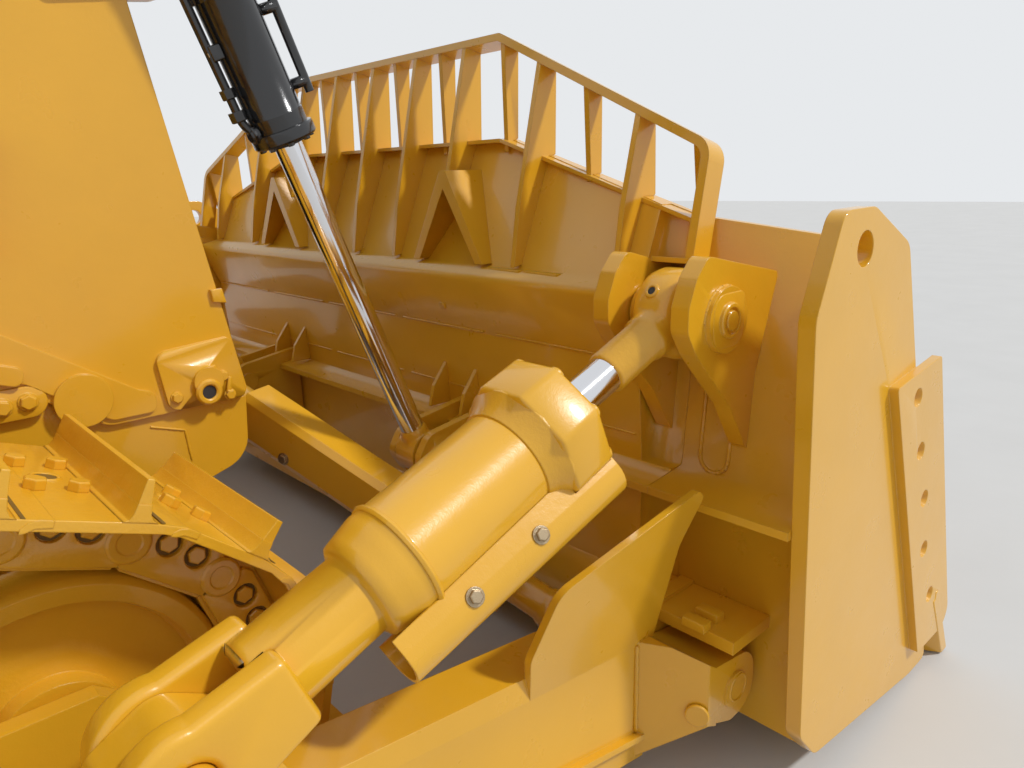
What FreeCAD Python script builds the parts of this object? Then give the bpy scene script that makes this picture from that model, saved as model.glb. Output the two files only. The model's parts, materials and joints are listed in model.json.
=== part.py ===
import FreeCAD, Part
import math
import os

# Bulldozer on an elevated-sprocket track, with a semi-U blade and a single-shank ripper.
# Millimetres. +X points forward, +Y to the left, +Z up.
# Every x below is measured from the front idler's centre, and the whole machine is then
# moved along X so that the origin lies under the middle of its length.
V = FreeCAD.Vector

# Driving dimensions of the undercarriage
GAUGE = 2083.0                 # between the two track centre planes
SHOE_WIDTH = 560.0
SHOE_THICK = 20.0
GROUSER_HEIGHT = 78.0
PITCH = 216.0                  # from pin to pin of the chain
SHOE_COUNT = 44
RAIL_DROP = 58.0               # from pin line down to the running face of a link
PLATE_RISE = 69.0              # from pin line up to the underside of a shoe
RAIL_WIDTH = 50.0
RAIL_SPREAD = 160.0            # between the centres of the two link rails
IDLER_TREAD = 326.6            # tread radius of an idler
IDLER_BASE = 3206.0            # between the idlers' centres
IDLER_FLANGE = 20.0            # central flange above the tread
SPROCKET_X = -2456.0
SPROCKET_RISE = 845.0          # sprocket centre above the idlers' centres
SPROCKET_PINS = 468.0          # radius of the pin line round the sprocket
SPROCKET_TEETH = 27
ROLLER_RADIUS = 106.0
ROLLERS_PER_SIDE = 8
ROLLER_FRONT = 486.0           # from the front idler back to the first roller
ROLLER_REAR = 452.0            # from the last roller back to the rear idler
GAP = 0.3                      # running clearance between curved neighbours
SEAT = 0.4                     # clearance between flat neighbours on other bodies

# Driving dimensions of the hull, nose and hood
HULL_HALF = 470.0
HULL_BOTTOM = 640.0
HULL_TOP = 1150.0
HULL_REAR = -3420.0
NOSE_HALF = 605.0
NOSE_TOP = 2190.0
NOSE_BOTTOM = 1010.0
NOSE_REAR = -260.0
NOSE_FRONT_TOP = 462.0         # x of the nose's front edge at its top
NOSE_FRONT_LOW = 672.0         # x of the nose's front edge at its bottom
NOSE_WALL = 24.0
GUARD_BOTTOM = 760.0
HOOD_HALF = 470.0
HOOD_REAR = -1330.0
HOOD_REAR_TOP = 2270.0
SHEET = 6.0
CASE_TOP = 1660.0              # top of the bevel gear case
PIVOT_X = -2200.0
PIVOT_Z = 550.0

# Driving dimensions of the cab, platform and roll-over frame
PLATFORM_Z = 2075.0
CAB_FLOOR = CASE_TOP + SEAT
CAB_FRONT = -1390.0
CAB_REAR = -2700.0
CAB_HALF = 660.0
CAB_ROOF = 3230.0
CAB_WALL = 45.0
GLASS = 8.0
ROOF_SPACE = 106.0             # between the cab's roof and the canopy
CANOPY_DEPTH = 120.0
ROPS_TOP = CAB_ROOF + ROOF_SPACE + CANOPY_DEPTH
ROPS_HALF = 830.0
POST_INSIDE = 150.0            # from the canopy's side in to a post's inner face
LAMP_CLEAR = 120.0             # from a post's inner face to the outer lamps' middle
POST_X = -2845.0
TANK_HEIGHT = 1199.6
FENDER_OUT = 1290.0
FENDER_THICK = 12.0
DOOR_FRONT = -1500.0
DOOR_REAR = -2280.0
HINGE_X = -2296.0              # door hinge line, behind and outside the door
HINGE_Y = -684.0
HINGE_HEIGHTS = (2330.0, 2900.0)

# Driving dimensions of the push arms and the blade
ARM_Y = 1535.0                 # centre plane of a push arm
ARM_HALF = 66.0
TRUNNION_X = -1750.0
TRUNNION_Z = 520.0
TRUNNION_BALL = 112.0
HEAD_X = 1385.0                # lower blade pins
HEAD_Z = 280.0
HEAD_PIN = 50.0
HEAD_BACK = 120.0              # from the pin back to the head's outer block
HEAD_FLARE = 163.0             # how far the arm's head stands out of the arm's flank
FIN_THICK = 20.0
FIN_LEAN = 0.266               # outward lean of the deflector plate for its rise
BLADE_FLAT = 1500.0            # half of the blade's straight middle stretch
RECESS_Y = 1400.0              # the box beams end here and the blade's back is open outside
RECESS_X = 1500.0
RECESS_LOW = 60.0
RECESS_HIGH = 745.0
PLATE_Y = 1900.0               # inner face of an end plate
PLATE_THICK = 40.0
BLADE_SKIN = 25.0
TENT_Y = 606.0                 # middle of the bent plates on the upper ledge
BLADE_TOP = 1715.0
BLADE_END_TOP = 1480.0         # top edge where the wings begin
WING_SWEEP = 230.0             # how far the wings reach forward
FACE_RADIUS = 1528.0           # hollow face of the moldboard
FACE_X = 3088.0
FACE_Z = 1280.0
EAR_INSIDE = 56.0              # from the eye's middle plane to a clevis ear
GUARD_BEND = 722.0
GUARD_END = 1565.0
GUARD_TOP = 2024.0
GUARD_END_TOP = 1653.0
GUARD_LEAN = 0.22              # forward lean of the guard for its rise
GUARD_DEPTH = 70.0
GUARD_BAR = 24.0
GUARD_FOOT = 1376.0            # where the rail's bent ends stand on the clevises
LONG_RIBS = (0.0, 275.0, 550.0, 920.0, 1325.0)
SHORT_RIBS = (137.0, 412.0, 736.0, 1120.0, 1520.0)
EDGE_TOP = 262.0               # lower end of the moldboard's hollow face
EDGE_REACH = 150.0             # how far the cutting edge runs forward to the ground

# Driving dimensions of the cylinders
LIFT_Y = 700.0
LIFT_PIVOT_X = 640.0
LIFT_PIVOT_Z = 2150.0
LIFT_EYE_X = 1190.0
LIFT_EYE_Z = 730.0
LIFT_BARREL = 72.0             # outer radius
LIFT_ROD = 38.0
LIFT_STUB = 42.0               # trunnion pin of a lift barrel
LIFT_GLAND = 482.0             # from pivot down to the gland's face
LIFT_HEAD = 960.0              # from pivot up to the closed end
TILT_Y = 1550.0
TILT_LOW_X = 80.0
TILT_LOW_Z = 732.0
TILT_EYE_X = 1374.0
TILT_EYE_Z = 1254.0
TILT_BARREL = 116.0
TILT_NECK = 83.0
TILT_ROD = 44.0
TILT_HEAD = 158.0              # from the axis to a corner of the eight-sided head
TILT_HEAD_BACK = 819.0         # from the low pin up to the head
TILT_HEAD_FRONT = 935.0        # from the low pin up to the head's front face
TILT_EYE_HALF = 88.0           # half width of the rod's eye
TILT_EAR_INSIDE = 92.0         # from the eye's middle plane to a clevis ear
TILT_EAR_THICK = 48.0

LINK_X = 750.0                 # stabilizer link's ball in front of the nose
LINK_Y = -150.0
LINK_Z = 950.0
LINK_BALL = 74.0
LINK_END_X = 1240.0            # ball at the blade's right lower corner
LINK_END_Y = -1240.0
LINK_END_Z = 350.0
LINK_END_BALL = 62.0

# Driving dimensions of the ripper
RIP_PLATE = 60.0               # thickness of the hinge casting's plate
RIP_LINK_EYE = 78.0
RIP_LOW_X = HULL_REAR - SEAT - RIP_PLATE - RIP_LINK_EYE - 1.6
RIP_LOW_Z = 860.0
RIP_UP_RISE = 480.0            # upper link pin above the lower one
RIP_LINK = 1150.0              # length of both links
RIP_DROP = -60.0               # rear pins above or below the front ones
SHANK_THICK = 80.0
SHANK_TIP = 230.0              # height of the shank's lowest corner
RIP_CYL_Y = 200.0
RIP_CYL_BACK = 30.0            # upper pin of the ripper cylinders behind the link pins
RIP_CYL_X = RIP_LOW_X - RIP_CYL_BACK
RIP_CYL_Z = 1500.0
RIP_EYE_RISE = 150.0           # cylinder's lower eye above the lower link's cross tube
RIP_EYE = 62.0
RIP_EYE_HALF = 36.0


def unit(vector):
    """The vector's direction, one long."""
    return vector * (1.0 / vector.Length)


def face_of(points):
    """Flat face inside a closed outline of 3-D points."""
    return Part.Face(Part.makePolygon(points + [points[0]]))


def rounded(points, radii):
    """Closed wire through 3-D points whose corners are arcs of the given radii."""
    edges = []
    starts = []
    count = len(points)
    for i in range(count):
        here = points[i]
        before = points[i - 1] - here
        after = points[(i + 1) % count] - here
        radius = radii[i] if isinstance(radii, (list, tuple)) else radii
        if radius <= 0:
            starts.append((here, None, here))
            continue
        half = before.getAngle(after) / 2
        reach = radius / math.tan(half)
        before.normalize()
        after.normalize()
        first = here + before * reach
        last = here + after * reach
        middle_way = unit(before + after)
        centre = here + middle_way * (radius / math.sin(half))
        starts.append((first, centre - middle_way * radius, last))
    for i in range(count):
        first, middle, last = starts[i]
        if middle is not None:
            edges.append(Part.Arc(first, middle, last).toShape())
        following = starts[(i + 1) % count][0]
        if (following - last).Length > 1e-6:
            edges.append(Part.LineSegment(last, following).toShape())
    return Part.Wire(edges)


def side_plate(outline, y0, y1, radii=0):
    """Solid with an (x, z) outline between two y planes."""
    points = [V(x, y0, z) for x, z in outline]
    wire = rounded(points, radii)
    return Part.Face(wire).extrude(V(0, y1 - y0, 0))


def plan_plate(outline, z0, z1, radii=0):
    """Solid with an (x, y) outline between two z planes."""
    points = [V(x, y, z0) for x, y in outline]
    return Part.Face(rounded(points, radii)).extrude(V(0, 0, z1 - z0))


def front_plate(outline, x0, x1, radii=0):
    """Solid with a (y, z) outline between two x planes."""
    points = [V(x0, y, z) for y, z in outline]
    return Part.Face(rounded(points, radii)).extrude(V(x1 - x0, 0, 0))


def box(x0, x1, y0, y1, z0, z1):
    return Part.makeBox(x1 - x0, y1 - y0, z1 - z0, V(x0, y0, z0))


def rod(start, end, radius):
    """Cylinder between two points."""
    way = end - start
    return Part.makeCylinder(radius, way.Length, start, way)


def pin_y(x, z, y0, y1, radius):
    """Cylinder along Y."""
    return Part.makeCylinder(radius, y1 - y0, V(x, y0, z), V(0, 1, 0))


def turned(start, direction, profile):
    """Solid of revolution from rows of (distance along the axis, radius)."""
    way = unit(direction)
    side = V(0, 1, 0) if abs(way.y) < 0.9 else V(1, 0, 0)
    side = unit(side - way * side.dot(way))
    points = [start + way * profile[0][0]]
    for along, radius in profile:
        points.append(start + way * along + side * radius)
    points.append(start + way * profile[-1][0])
    return face_of(points).revolve(start, way, 360)


def fused(shapes):
    """One shape from solids that meet."""
    whole = shapes[0].multiFuse(shapes[1:]) if len(shapes) > 1 else shapes[0]
    return whole.removeSplitter()


def mirrored(shape):
    return shape.mirror(V(0, 0, 0), V(0, 1, 0))


def both_sides(shape):
    """The shape and its mirror image as separate solids of one node."""
    return Part.makeCompound([shape, mirrored(shape)])


def ground_up():
    """Heights that follow from the chain: pin radius, pin line and idler centre."""
    contact = IDLER_TREAD + RAIL_DROP + SEAT
    pin_radius = math.hypot(contact, PITCH / 2)
    pin_line = PLATE_RISE + SHOE_THICK + GROUSER_HEIGHT
    return pin_radius, pin_line, pin_line + pin_radius


PIN_RADIUS, PIN_LINE, IDLER_Z = ground_up()
SPROCKET_Z = IDLER_Z + SPROCKET_RISE
TRACK_Y = GAUGE / 2


def chain_path():
    """Rows of straight and round stretches of the pin line, forward along the ground."""
    wheels = [
        # x, z, radius
        (0.0, IDLER_Z, PIN_RADIUS),
        (SPROCKET_X, SPROCKET_Z, SPROCKET_PINS),
        (-IDLER_BASE, IDLER_Z, PIN_RADIUS),
    ]
    tangents = []
    for i in range(3):
        x0, z0, r0 = wheels[i]
        x1, z1, r1 = wheels[(i + 1) % 3]
        span = math.hypot(x1 - x0, z1 - z0)
        heading = math.atan2(z1 - z0, x1 - x0)
        normal = heading - math.pi / 2 + math.asin((r1 - r0) / span) * -1
        tangents.append((normal, span, r1 - r0))
    rows = []
    for i in range(3):
        x, z, radius = wheels[i]
        enter = tangents[i - 1][0]
        leave = tangents[i][0]
        turn = (leave - enter) % (2 * math.pi)
        rows.append(("arc", x, z, radius, enter, turn))
        x1, z1, r1 = wheels[(i + 1) % 3]
        start = V(x + radius * math.cos(leave), 0, z + radius * math.sin(leave))
        end = V(x1 + r1 * math.cos(leave), 0, z1 + r1 * math.sin(leave))
        rows.append(("line", start, end))
    return rows


def chain_length(rows):
    total = 0.0
    for row in rows:
        if row[0] == "arc":
            total += row[3] * row[5]
        else:
            total += (row[2] - row[1]).Length
    return total


def chain_point(rows, along):
    """Point of the pin line at a distance along it."""
    for row in rows:
        if row[0] == "arc":
            length = row[3] * row[5]
            if along <= length:
                angle = row[4] + along / row[3]
                return V(row[1] + row[3] * math.cos(angle), 0,
                         row[2] + row[3] * math.sin(angle))
        else:
            length = (row[2] - row[1]).Length
            if along <= length:
                return row[1] + (row[2] - row[1]) * (along / length)
        along -= length
    return chain_point(rows, 0.0)


def chain_links():
    """Start pin, direction along the chain and outward direction of every link."""
    rows = chain_path()
    total = chain_length(rows)
    step = total / SHOE_COUNT
    links = []
    for i in range(SHOE_COUNT):
        first = chain_point(rows, i * step)
        second = chain_point(rows, ((i + 1) * step) % total)
        along = (second - first)
        length = along.Length
        along.normalize()
        outward = V(along.z, 0, -along.x)
        links.append((first, along, outward, length))
    return links


def track():
    """Shoes and link rails of one track, as one closed loop on the right-hand side."""
    shoe_rows = [
        # share of the pitch, height above the pin line
        (0.16, PLATE_RISE + SHOE_THICK),
        (0.19, PLATE_RISE + SHOE_THICK + GROUSER_HEIGHT),
        (0.25, PLATE_RISE + SHOE_THICK + GROUSER_HEIGHT),
        (0.30, PLATE_RISE + SHOE_THICK),
        (0.98, PLATE_RISE + SHOE_THICK),
    ]
    plate_rows = [(0.02, PLATE_RISE), (0.98, PLATE_RISE)]
    rail_out_rows = [(0.02, PLATE_RISE + SHOE_THICK / 2), (0.98, PLATE_RISE + SHOE_THICK / 2)]
    rail_in_rows = [(0.0, -12.0), (0.08, -RAIL_DROP), (0.92, -RAIL_DROP)]
    outlines = []
    for rows in (shoe_rows, plate_rows, rail_out_rows, rail_in_rows):
        points = []
        for first, along, outward, length in chain_links():
            for share, height in rows:
                points.append(first + along * (share * length) + outward * height)
        outlines.append(points)
    shoes_out, shoes_in, rails_out, rails_in = outlines

    def band(outer, inner, y0, y1):
        shift = V(0, y0, 0)
        whole = face_of([p + shift for p in outer]).extrude(V(0, y1 - y0, 0))
        hole = face_of([p + shift for p in inner]).extrude(V(0, y1 - y0, 0))
        return whole.cut(hole)

    shoes = band(shoes_out, shoes_in, -TRACK_Y - SHOE_WIDTH / 2, -TRACK_Y + SHOE_WIDTH / 2)
    pieces = [shoes]
    for side in (-1, 1):
        y = -TRACK_Y + side * RAIL_SPREAD / 2
        pieces.append(band(rails_out, rails_in, y - RAIL_WIDTH / 2, y + RAIL_WIDTH / 2))
    return pieces[0].multiFuse(pieces[1:])


def idler(x):
    """Idler wheel with two treads, a central flange and a dished web."""
    centre = V(x, -TRACK_Y, IDLER_Z)
    outer = RAIL_SPREAD / 2 + RAIL_WIDTH / 2
    inner = RAIL_SPREAD / 2 - RAIL_WIDTH / 2 - 6
    wheel = turned(centre, V(0, 1, 0), [
        # distance from the middle plane, radius
        (-outer, IDLER_TREAD - 14),
        (-outer + 12, IDLER_TREAD),
        (-inner, IDLER_TREAD),
        (-inner + 6, IDLER_TREAD + IDLER_FLANGE),
        (inner - 6, IDLER_TREAD + IDLER_FLANGE),
        (inner, IDLER_TREAD),
        (outer - 12, IDLER_TREAD),
        (outer, IDLER_TREAD - 14),
    ])
    dish = turned(centre, V(0, 1, 0), [
        (outer - 46, 120.0), (outer - 40, IDLER_TREAD - 60), (outer + 10, IDLER_TREAD - 44)])
    bore = rod(centre + V(0, outer - 60, 0), centre + V(0, outer + 10, 0), 120.0)
    recess = dish.cut(bore)
    mirror_plane = V(0, -TRACK_Y, 0)
    other = recess.mirror(mirror_plane, V(0, 1, 0))
    hub_half = V(0, outer + 26 - GAP, 0)
    hub = rod(centre - hub_half, centre + hub_half, 88.0)
    return fused([wheel.cut(recess).cut(other), hub])


def sprocket():
    """Segmented drive sprocket with teeth between the link rails."""
    centre = V(SPROCKET_X, -TRACK_Y, SPROCKET_Z)
    root = SPROCKET_PINS - 46
    tip = SPROCKET_PINS - 6
    half = 36.0
    points = []
    for i in range(SPROCKET_TEETH):
        base = 2 * math.pi * i / SPROCKET_TEETH
        step = 2 * math.pi / SPROCKET_TEETH
        for share, radius in ((0.0, root), (0.30, root), (0.50, tip), (0.70, tip)):
            angle = base + share * step
            points.append(centre + V(radius * math.cos(angle), -half, radius * math.sin(angle)))
    rim = face_of(points).extrude(V(0, 2 * half, 0))
    rim = rim.cut(rod(centre - V(0, half + 1, 0), centre + V(0, half + 1, 0), 300.0))
    return rim


def final_drive():
    """Final drive case that fills the sprocket's middle and joins the hull."""
    centre = V(SPROCKET_X, -TRACK_Y, SPROCKET_Z)
    cover = turned(centre, V(0, -1, 0), [
        (-40.0, 300.0 - GAP), (60.0, 300.0 - GAP), (150.0, 280.0), (205.0, 236.0),
        (240.0, 190.0), (262.0, 188.0), (262.0, 90.0)])
    case = turned(centre, V(0, 1, 0), [
        (30.0, 285.0), (200.0, 285.0), (330.0, 240.0), (GAUGE / 2 - HULL_HALF - 0.0, 240.0)])
    return fused([cover, case])


def track_frame():
    """Tubular roller frame between the idlers, with yokes, guards and the arm's trunnion."""
    y = -TRACK_Y
    rail_face = PIN_LINE + RAIL_DROP
    low = rail_face + 2 * ROLLER_RADIUS + 20
    outline = [
        # x, z
        (-IDLER_BASE + 470, low), (-470, low), (-430, IDLER_Z - 60), (-430, IDLER_Z + 120),
        (-700, IDLER_Z + 230), (-1500, IDLER_Z + 260), (-2300, IDLER_Z + 230),
        (-IDLER_BASE + 430, IDLER_Z + 120), (-IDLER_BASE + 430, IDLER_Z - 60),
    ]
    beam = side_plate(outline, y - 150, y + 150, [20, 20, 30, 60, 200, 300, 200, 60, 30])
    guards = []
    guard_low = rail_face + 40
    for side in (-1, 1):
        inner = y + side * 130
        outer = y + side * 152
        guards.append(side_plate([
            (-IDLER_BASE + 500, guard_low), (-500, guard_low), (-440, low + 30),
            (-IDLER_BASE + 440, low + 30)], min(inner, outer), max(inner, outer), 0))
    yokes = []
    for x, way in ((0.0, 1), (-IDLER_BASE, -1)):
        for side in (-1, 1):
            inner = y + side * (RAIL_SPREAD / 2 + RAIL_WIDTH / 2 + 26)
            outer = y + side * (RAIL_SPREAD / 2 + RAIL_WIDTH / 2 + 70)
            arm = side_plate([
                (x - way * 560, IDLER_Z - 95), (x + way * 60, IDLER_Z - 95),
                (x + way * 125, IDLER_Z - 40), (x + way * 125, IDLER_Z + 60),
                (x + way * 60, IDLER_Z + 110), (x - way * 560, IDLER_Z + 110)],
                min(inner, outer), max(inner, outer), 0)
            yokes.append(arm)
    bracket = [
        pin_y(TRUNNION_X, TRUNNION_Z, y - 330, y - 140, 130.0),
        side_plate([(TRUNNION_X - 300, TRUNNION_Z - 90), (TRUNNION_X + 300, TRUNNION_Z - 90),
                    (TRUNNION_X + 190, TRUNNION_Z + 150), (TRUNNION_X - 190, TRUNNION_Z + 150)],
                   y - 215, y - 140, 30),
        rod(V(TRUNNION_X, y - 325, TRUNNION_Z), V(TRUNNION_X, -ARM_Y, TRUNNION_Z), 62.0),
        Part.makeSphere(TRUNNION_BALL - GAP, V(TRUNNION_X, -ARM_Y, TRUNNION_Z)),
    ]
    return fused([beam] + guards + yokes + bracket)


def rollers():
    """Track rollers of one side, double-flanged, standing on the links."""
    rail_face = PIN_LINE + RAIL_DROP
    step = (IDLER_BASE - ROLLER_FRONT - ROLLER_REAR) / (ROLLERS_PER_SIDE - 1)
    half = RAIL_SPREAD / 2 + RAIL_WIDTH / 2
    solids = []
    for i in range(ROLLERS_PER_SIDE):
        centre = V(-ROLLER_FRONT - i * step, -TRACK_Y, rail_face + ROLLER_RADIUS + SEAT)
        solids.append(turned(centre, V(0, 1, 0), [
            (-half - 12, ROLLER_RADIUS + 14), (-half - 2, ROLLER_RADIUS + 14),
            (-half - 1, ROLLER_RADIUS), (-half + 50, ROLLER_RADIUS),
            (-half + 60, ROLLER_RADIUS - 22), (half - 60, ROLLER_RADIUS - 22),
            (half - 50, ROLLER_RADIUS), (half + 1, ROLLER_RADIUS),
            (half + 2, ROLLER_RADIUS + 14), (half + 12, ROLLER_RADIUS + 14)]))
    return Part.makeCompound(solids)


def hull():
    """Main frame box with the bevel gear case behind."""
    return side_plate([
        (HULL_REAR, HULL_BOTTOM + 60), (HULL_REAR + 120, HULL_BOTTOM), (-250, HULL_BOTTOM),
        (80, HULL_BOTTOM + 60), (80, HULL_BOTTOM + 118), (-322, HULL_BOTTOM + 118),
        (-322, HULL_TOP), (-1800, HULL_TOP), (-1990, CASE_TOP),
        (HULL_REAR + 60, CASE_TOP), (HULL_REAR, CASE_TOP - 60)],
        -HULL_HALF, HULL_HALF, [0, 40, 60, 0, 0, 0, 0, 40, 40, 40, 30])


def equalizer_bar():
    """Cross bar in front that carries both track frames under the hull."""
    low = IDLER_Z + 170
    high = IDLER_Z + 252
    under = HULL_BOTTOM - SEAT
    inner = TRACK_Y - 150 - SEAT
    return front_plate([
        (-inner, low), (-HULL_HALF, under - 130), (HULL_HALF, under - 130), (inner, low),
        (inner, high), (HULL_HALF + 30, under), (-HULL_HALF - 30, under), (-inner, high)],
        -760, -620)


def pivot_shaft():
    """Rear cross shaft on which both track frames rock."""
    return pin_y(PIVOT_X, PIVOT_Z, -TRACK_Y + 152 + SEAT, TRACK_Y - 152 - SEAT, 85)


def engine_block():
    """Engine and its gearbox as one plain mass under the hood."""
    return box(HOOD_REAR + 60, NOSE_REAR - 260, -330, 330, HULL_TOP + SEAT, 1950)


def nose_lean(z):
    """How far the nose's front edge stands behind its lowest point."""
    return (NOSE_FRONT_LOW - NOSE_FRONT_TOP) * (z - NOSE_BOTTOM) / (NOSE_TOP - NOSE_BOTTOM)


def nose_outline(inset):
    """Side outline of the radiator guard, set in by a wall."""
    step = NOSE_BOTTOM + 130 + inset
    low = NOSE_BOTTOM + inset
    high = NOSE_TOP - inset
    front = NOSE_FRONT_LOW - inset
    return [
        (NOSE_REAR + inset, step), (120 + inset, step), (300 + inset, low), (front, low),
        (front - nose_lean(high - 60), high - 60), (front - nose_lean(high) - 60, high),
        (NOSE_REAR + inset, high)]


def nose():
    """Hollow radiator guard with its raised side plates, open in front for the grille."""
    shell = side_plate(nose_outline(0), -NOSE_HALF, NOSE_HALF, [0, 120, 60, 30, 30, 30, 0])
    inner = NOSE_HALF - NOSE_WALL
    shell = shell.cut(side_plate(nose_outline(NOSE_WALL), -inner, inner))
    mouth = box(100, NOSE_FRONT_LOW + 50, -NOSE_HALF + 90, NOSE_HALF - 90,
                NOSE_BOTTOM + 110, NOSE_TOP - 130)
    shell = shell.cut(mouth)
    face = -NOSE_HALF
    doubler = side_plate([
        (NOSE_REAR + 4, NOSE_BOTTOM + 150), (130, NOSE_BOTTOM + 150), (310, NOSE_BOTTOM + 14),
        (420, NOSE_BOTTOM + 14), (420, 1075), (380, 1090), (110, 1275), (NOSE_REAR + 4, 1480)],
        face - 8, face + 2, [0, 60, 40, 20, 25, 30, 60, 0])
    corner = side_plate([
        (450, NOSE_BOTTOM + 6), (NOSE_FRONT_LOW - 12, NOSE_BOTTOM + 6),
        (NOSE_FRONT_LOW - nose_lean(1190) - 8, 1190), (430, 1175)],
        face - 12, face + 2, [30, 16, 16, 30])
    bosses = [
        pin_y(252, 1090, face - 18, face + 1, 66),
        pin_y(556, 1080, face - 26, face + 1, 40),
        side_plate([(50, 1178), (128, 1150), (142, 1192), (64, 1220)], face - 22, face + 1, 18),
    ]
    right = fused([doubler, corner] + bosses)
    return fused([shell, right, mirrored(right)])


def grille():
    """Radiator grille: a frame filled with upright bars."""
    low = NOSE_BOTTOM + 90
    high = NOSE_TOP - 110
    half = NOSE_HALF - 70
    back = NOSE_FRONT_LOW - NOSE_WALL - 40 - SEAT

    def slat(y0, y1, z0, z1, depth):
        x0 = back - nose_lean(z0)
        x1 = back - nose_lean(z1)
        return side_plate([(x0, z0), (x0 + depth, z0), (x1 + depth, z1), (x1, z1)], y0, y1)

    pieces = [
        slat(-half, half, low, low + 50, 40), slat(-half, half, high - 50, high, 40),
        slat(-half, -half + 50, low, high, 40), slat(half - 50, half, low, high, 40),
        slat(-25, 25, low, high, 40)]
    bars = 13
    for side in (-1, 1):
        for i in range(bars):
            y = side * (25 + (half - 75) * (i + 1) / (bars + 1))
            pieces.append(slat(y - 6, y + 6, low, high, 26))
    return fused(pieces)


def lower_guard():
    """Rounded bottom guard under the nose, with the stabilizer link's socket."""
    top = NOSE_BOTTOM - SEAT
    body = side_plate([
        (-320, GUARD_BOTTOM), (430, GUARD_BOTTOM), (655, GUARD_BOTTOM + 70),
        (668, top), (300, top), (120, top + 130), (-320, top + 130)],
        -NOSE_HALF + 16, NOSE_HALF - 16, [0, 160, 90, 0, 60, 120, 0])
    inner = box(-330, 400, -NOSE_HALF + 50, NOSE_HALF - 50, GUARD_BOTTOM + 30, top + 140)
    ball = V(LINK_X, LINK_Y, LINK_Z)
    seat = plan_plate([
        (640, LINK_Y - 110), (LINK_X - 62, LINK_Y - 66), (LINK_X + 30, LINK_Y + 48),
        (LINK_X + 30, LINK_Y + 112), (640, LINK_Y + 150)], LINK_Z - 58, top, [0, 20, 20, 30, 0])
    return fused([body.cut(inner), seat]).cut(Part.makeSphere(LINK_BALL + GAP, ball))


def hood_line(x):
    """Height of the hood's top at a station."""
    share = (x - NOSE_REAR) / (HOOD_REAR - NOSE_REAR)
    return NOSE_TOP - 6 + (HOOD_REAR_TOP - NOSE_TOP + 6) * share


def hood_top():
    """Hood plate with folded edges between nose and cab."""
    front = NOSE_REAR - SEAT
    top = side_plate([
        (HOOD_REAR, hood_line(HOOD_REAR) - 60), (HOOD_REAR, hood_line(HOOD_REAR)),
        (front, hood_line(front)), (front, hood_line(front) - 60)], -HOOD_HALF, HOOD_HALF)
    under = side_plate([
        (HOOD_REAR - 5, hood_line(HOOD_REAR) - 70), (HOOD_REAR - 5, hood_line(HOOD_REAR) - 10),
        (front + 5, hood_line(front) - 10), (front + 5, hood_line(front) - 70)],
        -HOOD_HALF + SHEET, HOOD_HALF - SHEET)
    return top.cut(under)


def hood_sides():
    """Engine side doors with rows of slots, over a sill on the main frame."""
    y = -HOOD_HALF

    def door(x0, x1):
        low = HULL_TOP + 60
        plate = side_plate([
            (x0, low), (x1, low), (x1, hood_line(x1) - 60 - SEAT), (x0, hood_line(x0) - 60 - SEAT)],
            y, y + SHEET + 4, 12)
        for row in range(9):
            z = low + 260 + row * 62
            plate = plate.cut(box(x0 + 70, x1 - 70, y - 5, y + 20, z, z + 22))
        return plate

    middle = (HOOD_REAR + NOSE_REAR) / 2
    sill = box(HOOD_REAR, NOSE_REAR - 2, y, y + 60, HULL_TOP + SEAT, HULL_TOP + 60 - SEAT)
    solids = [door(HOOD_REAR + 6, middle - 4), door(middle + 4, NOSE_REAR - 6), sill]
    return Part.makeCompound(solids + [mirrored(s) for s in solids])


def stacks():
    """Exhaust stack and the air pre-cleaner, standing on the hood."""
    pipe_x = -840
    pipe_y = -170
    cleaner_x = -1080
    base = hood_line(pipe_x)
    pipe = turned(V(pipe_x, pipe_y, base), V(0, 0, 1), [
        (-30, 95), (30, 95), (60, 78), (760, 78), (775, 84), (950, 84)])
    bore = rod(V(pipe_x, pipe_y, base + 300), V(pipe_x, pipe_y, base + 960), 66)
    cleaner = turned(V(cleaner_x, 190, hood_line(cleaner_x)), V(0, 0, 1), [
        (-30, 90), (200, 90), (230, 165), (390, 165), (430, 150), (480, 120), (505, 40)])
    hood = side_plate([
        (HOOD_REAR, 2000), (NOSE_REAR, 2000), (NOSE_REAR, hood_line(NOSE_REAR) + SEAT),
        (HOOD_REAR, hood_line(HOOD_REAR) + SEAT)], -HOOD_HALF, HOOD_HALF)
    return Part.makeCompound([pipe.cut(bore).cut(hood), cleaner.cut(hood)])


def platform():
    """Fenders over the tracks beside the cab, with their front steps and kick plates."""
    inner = CAB_HALF + SEAT
    z = PLATFORM_Z
    fender = box(CAB_REAR - 420, CAB_FRONT + 60, -FENDER_OUT, -inner, z - FENDER_THICK, z)
    skirt = box(CAB_REAR - 420, CAB_FRONT + 60, -FENDER_OUT, -FENDER_OUT + 12, z - 38, z)
    nose_plate = side_plate([
        (CAB_FRONT + 60, z), (CAB_FRONT + 60, z - FENDER_THICK), (CAB_FRONT + 330, z - 230),
        (CAB_FRONT + 342, z - 222)], -inner - 560, -inner)
    leg = box(CAB_REAR - 60, CAB_FRONT + 60, -inner - 60, -inner, z - 400, z - FENDER_THICK)
    return both_sides(fused([fender, skirt, nose_plate, leg]))


def cab_outline(inset):
    """Side outline of the cab with its sloped windscreen."""
    return [
        (CAB_REAR + inset, CAB_FLOOR + inset), (CAB_FRONT - inset, CAB_FLOOR + inset),
        (CAB_FRONT - inset, PLATFORM_Z + 120), (CAB_FRONT - 190 - inset, CAB_ROOF - inset),
        (CAB_REAR + inset, CAB_ROOF - inset)]


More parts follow.
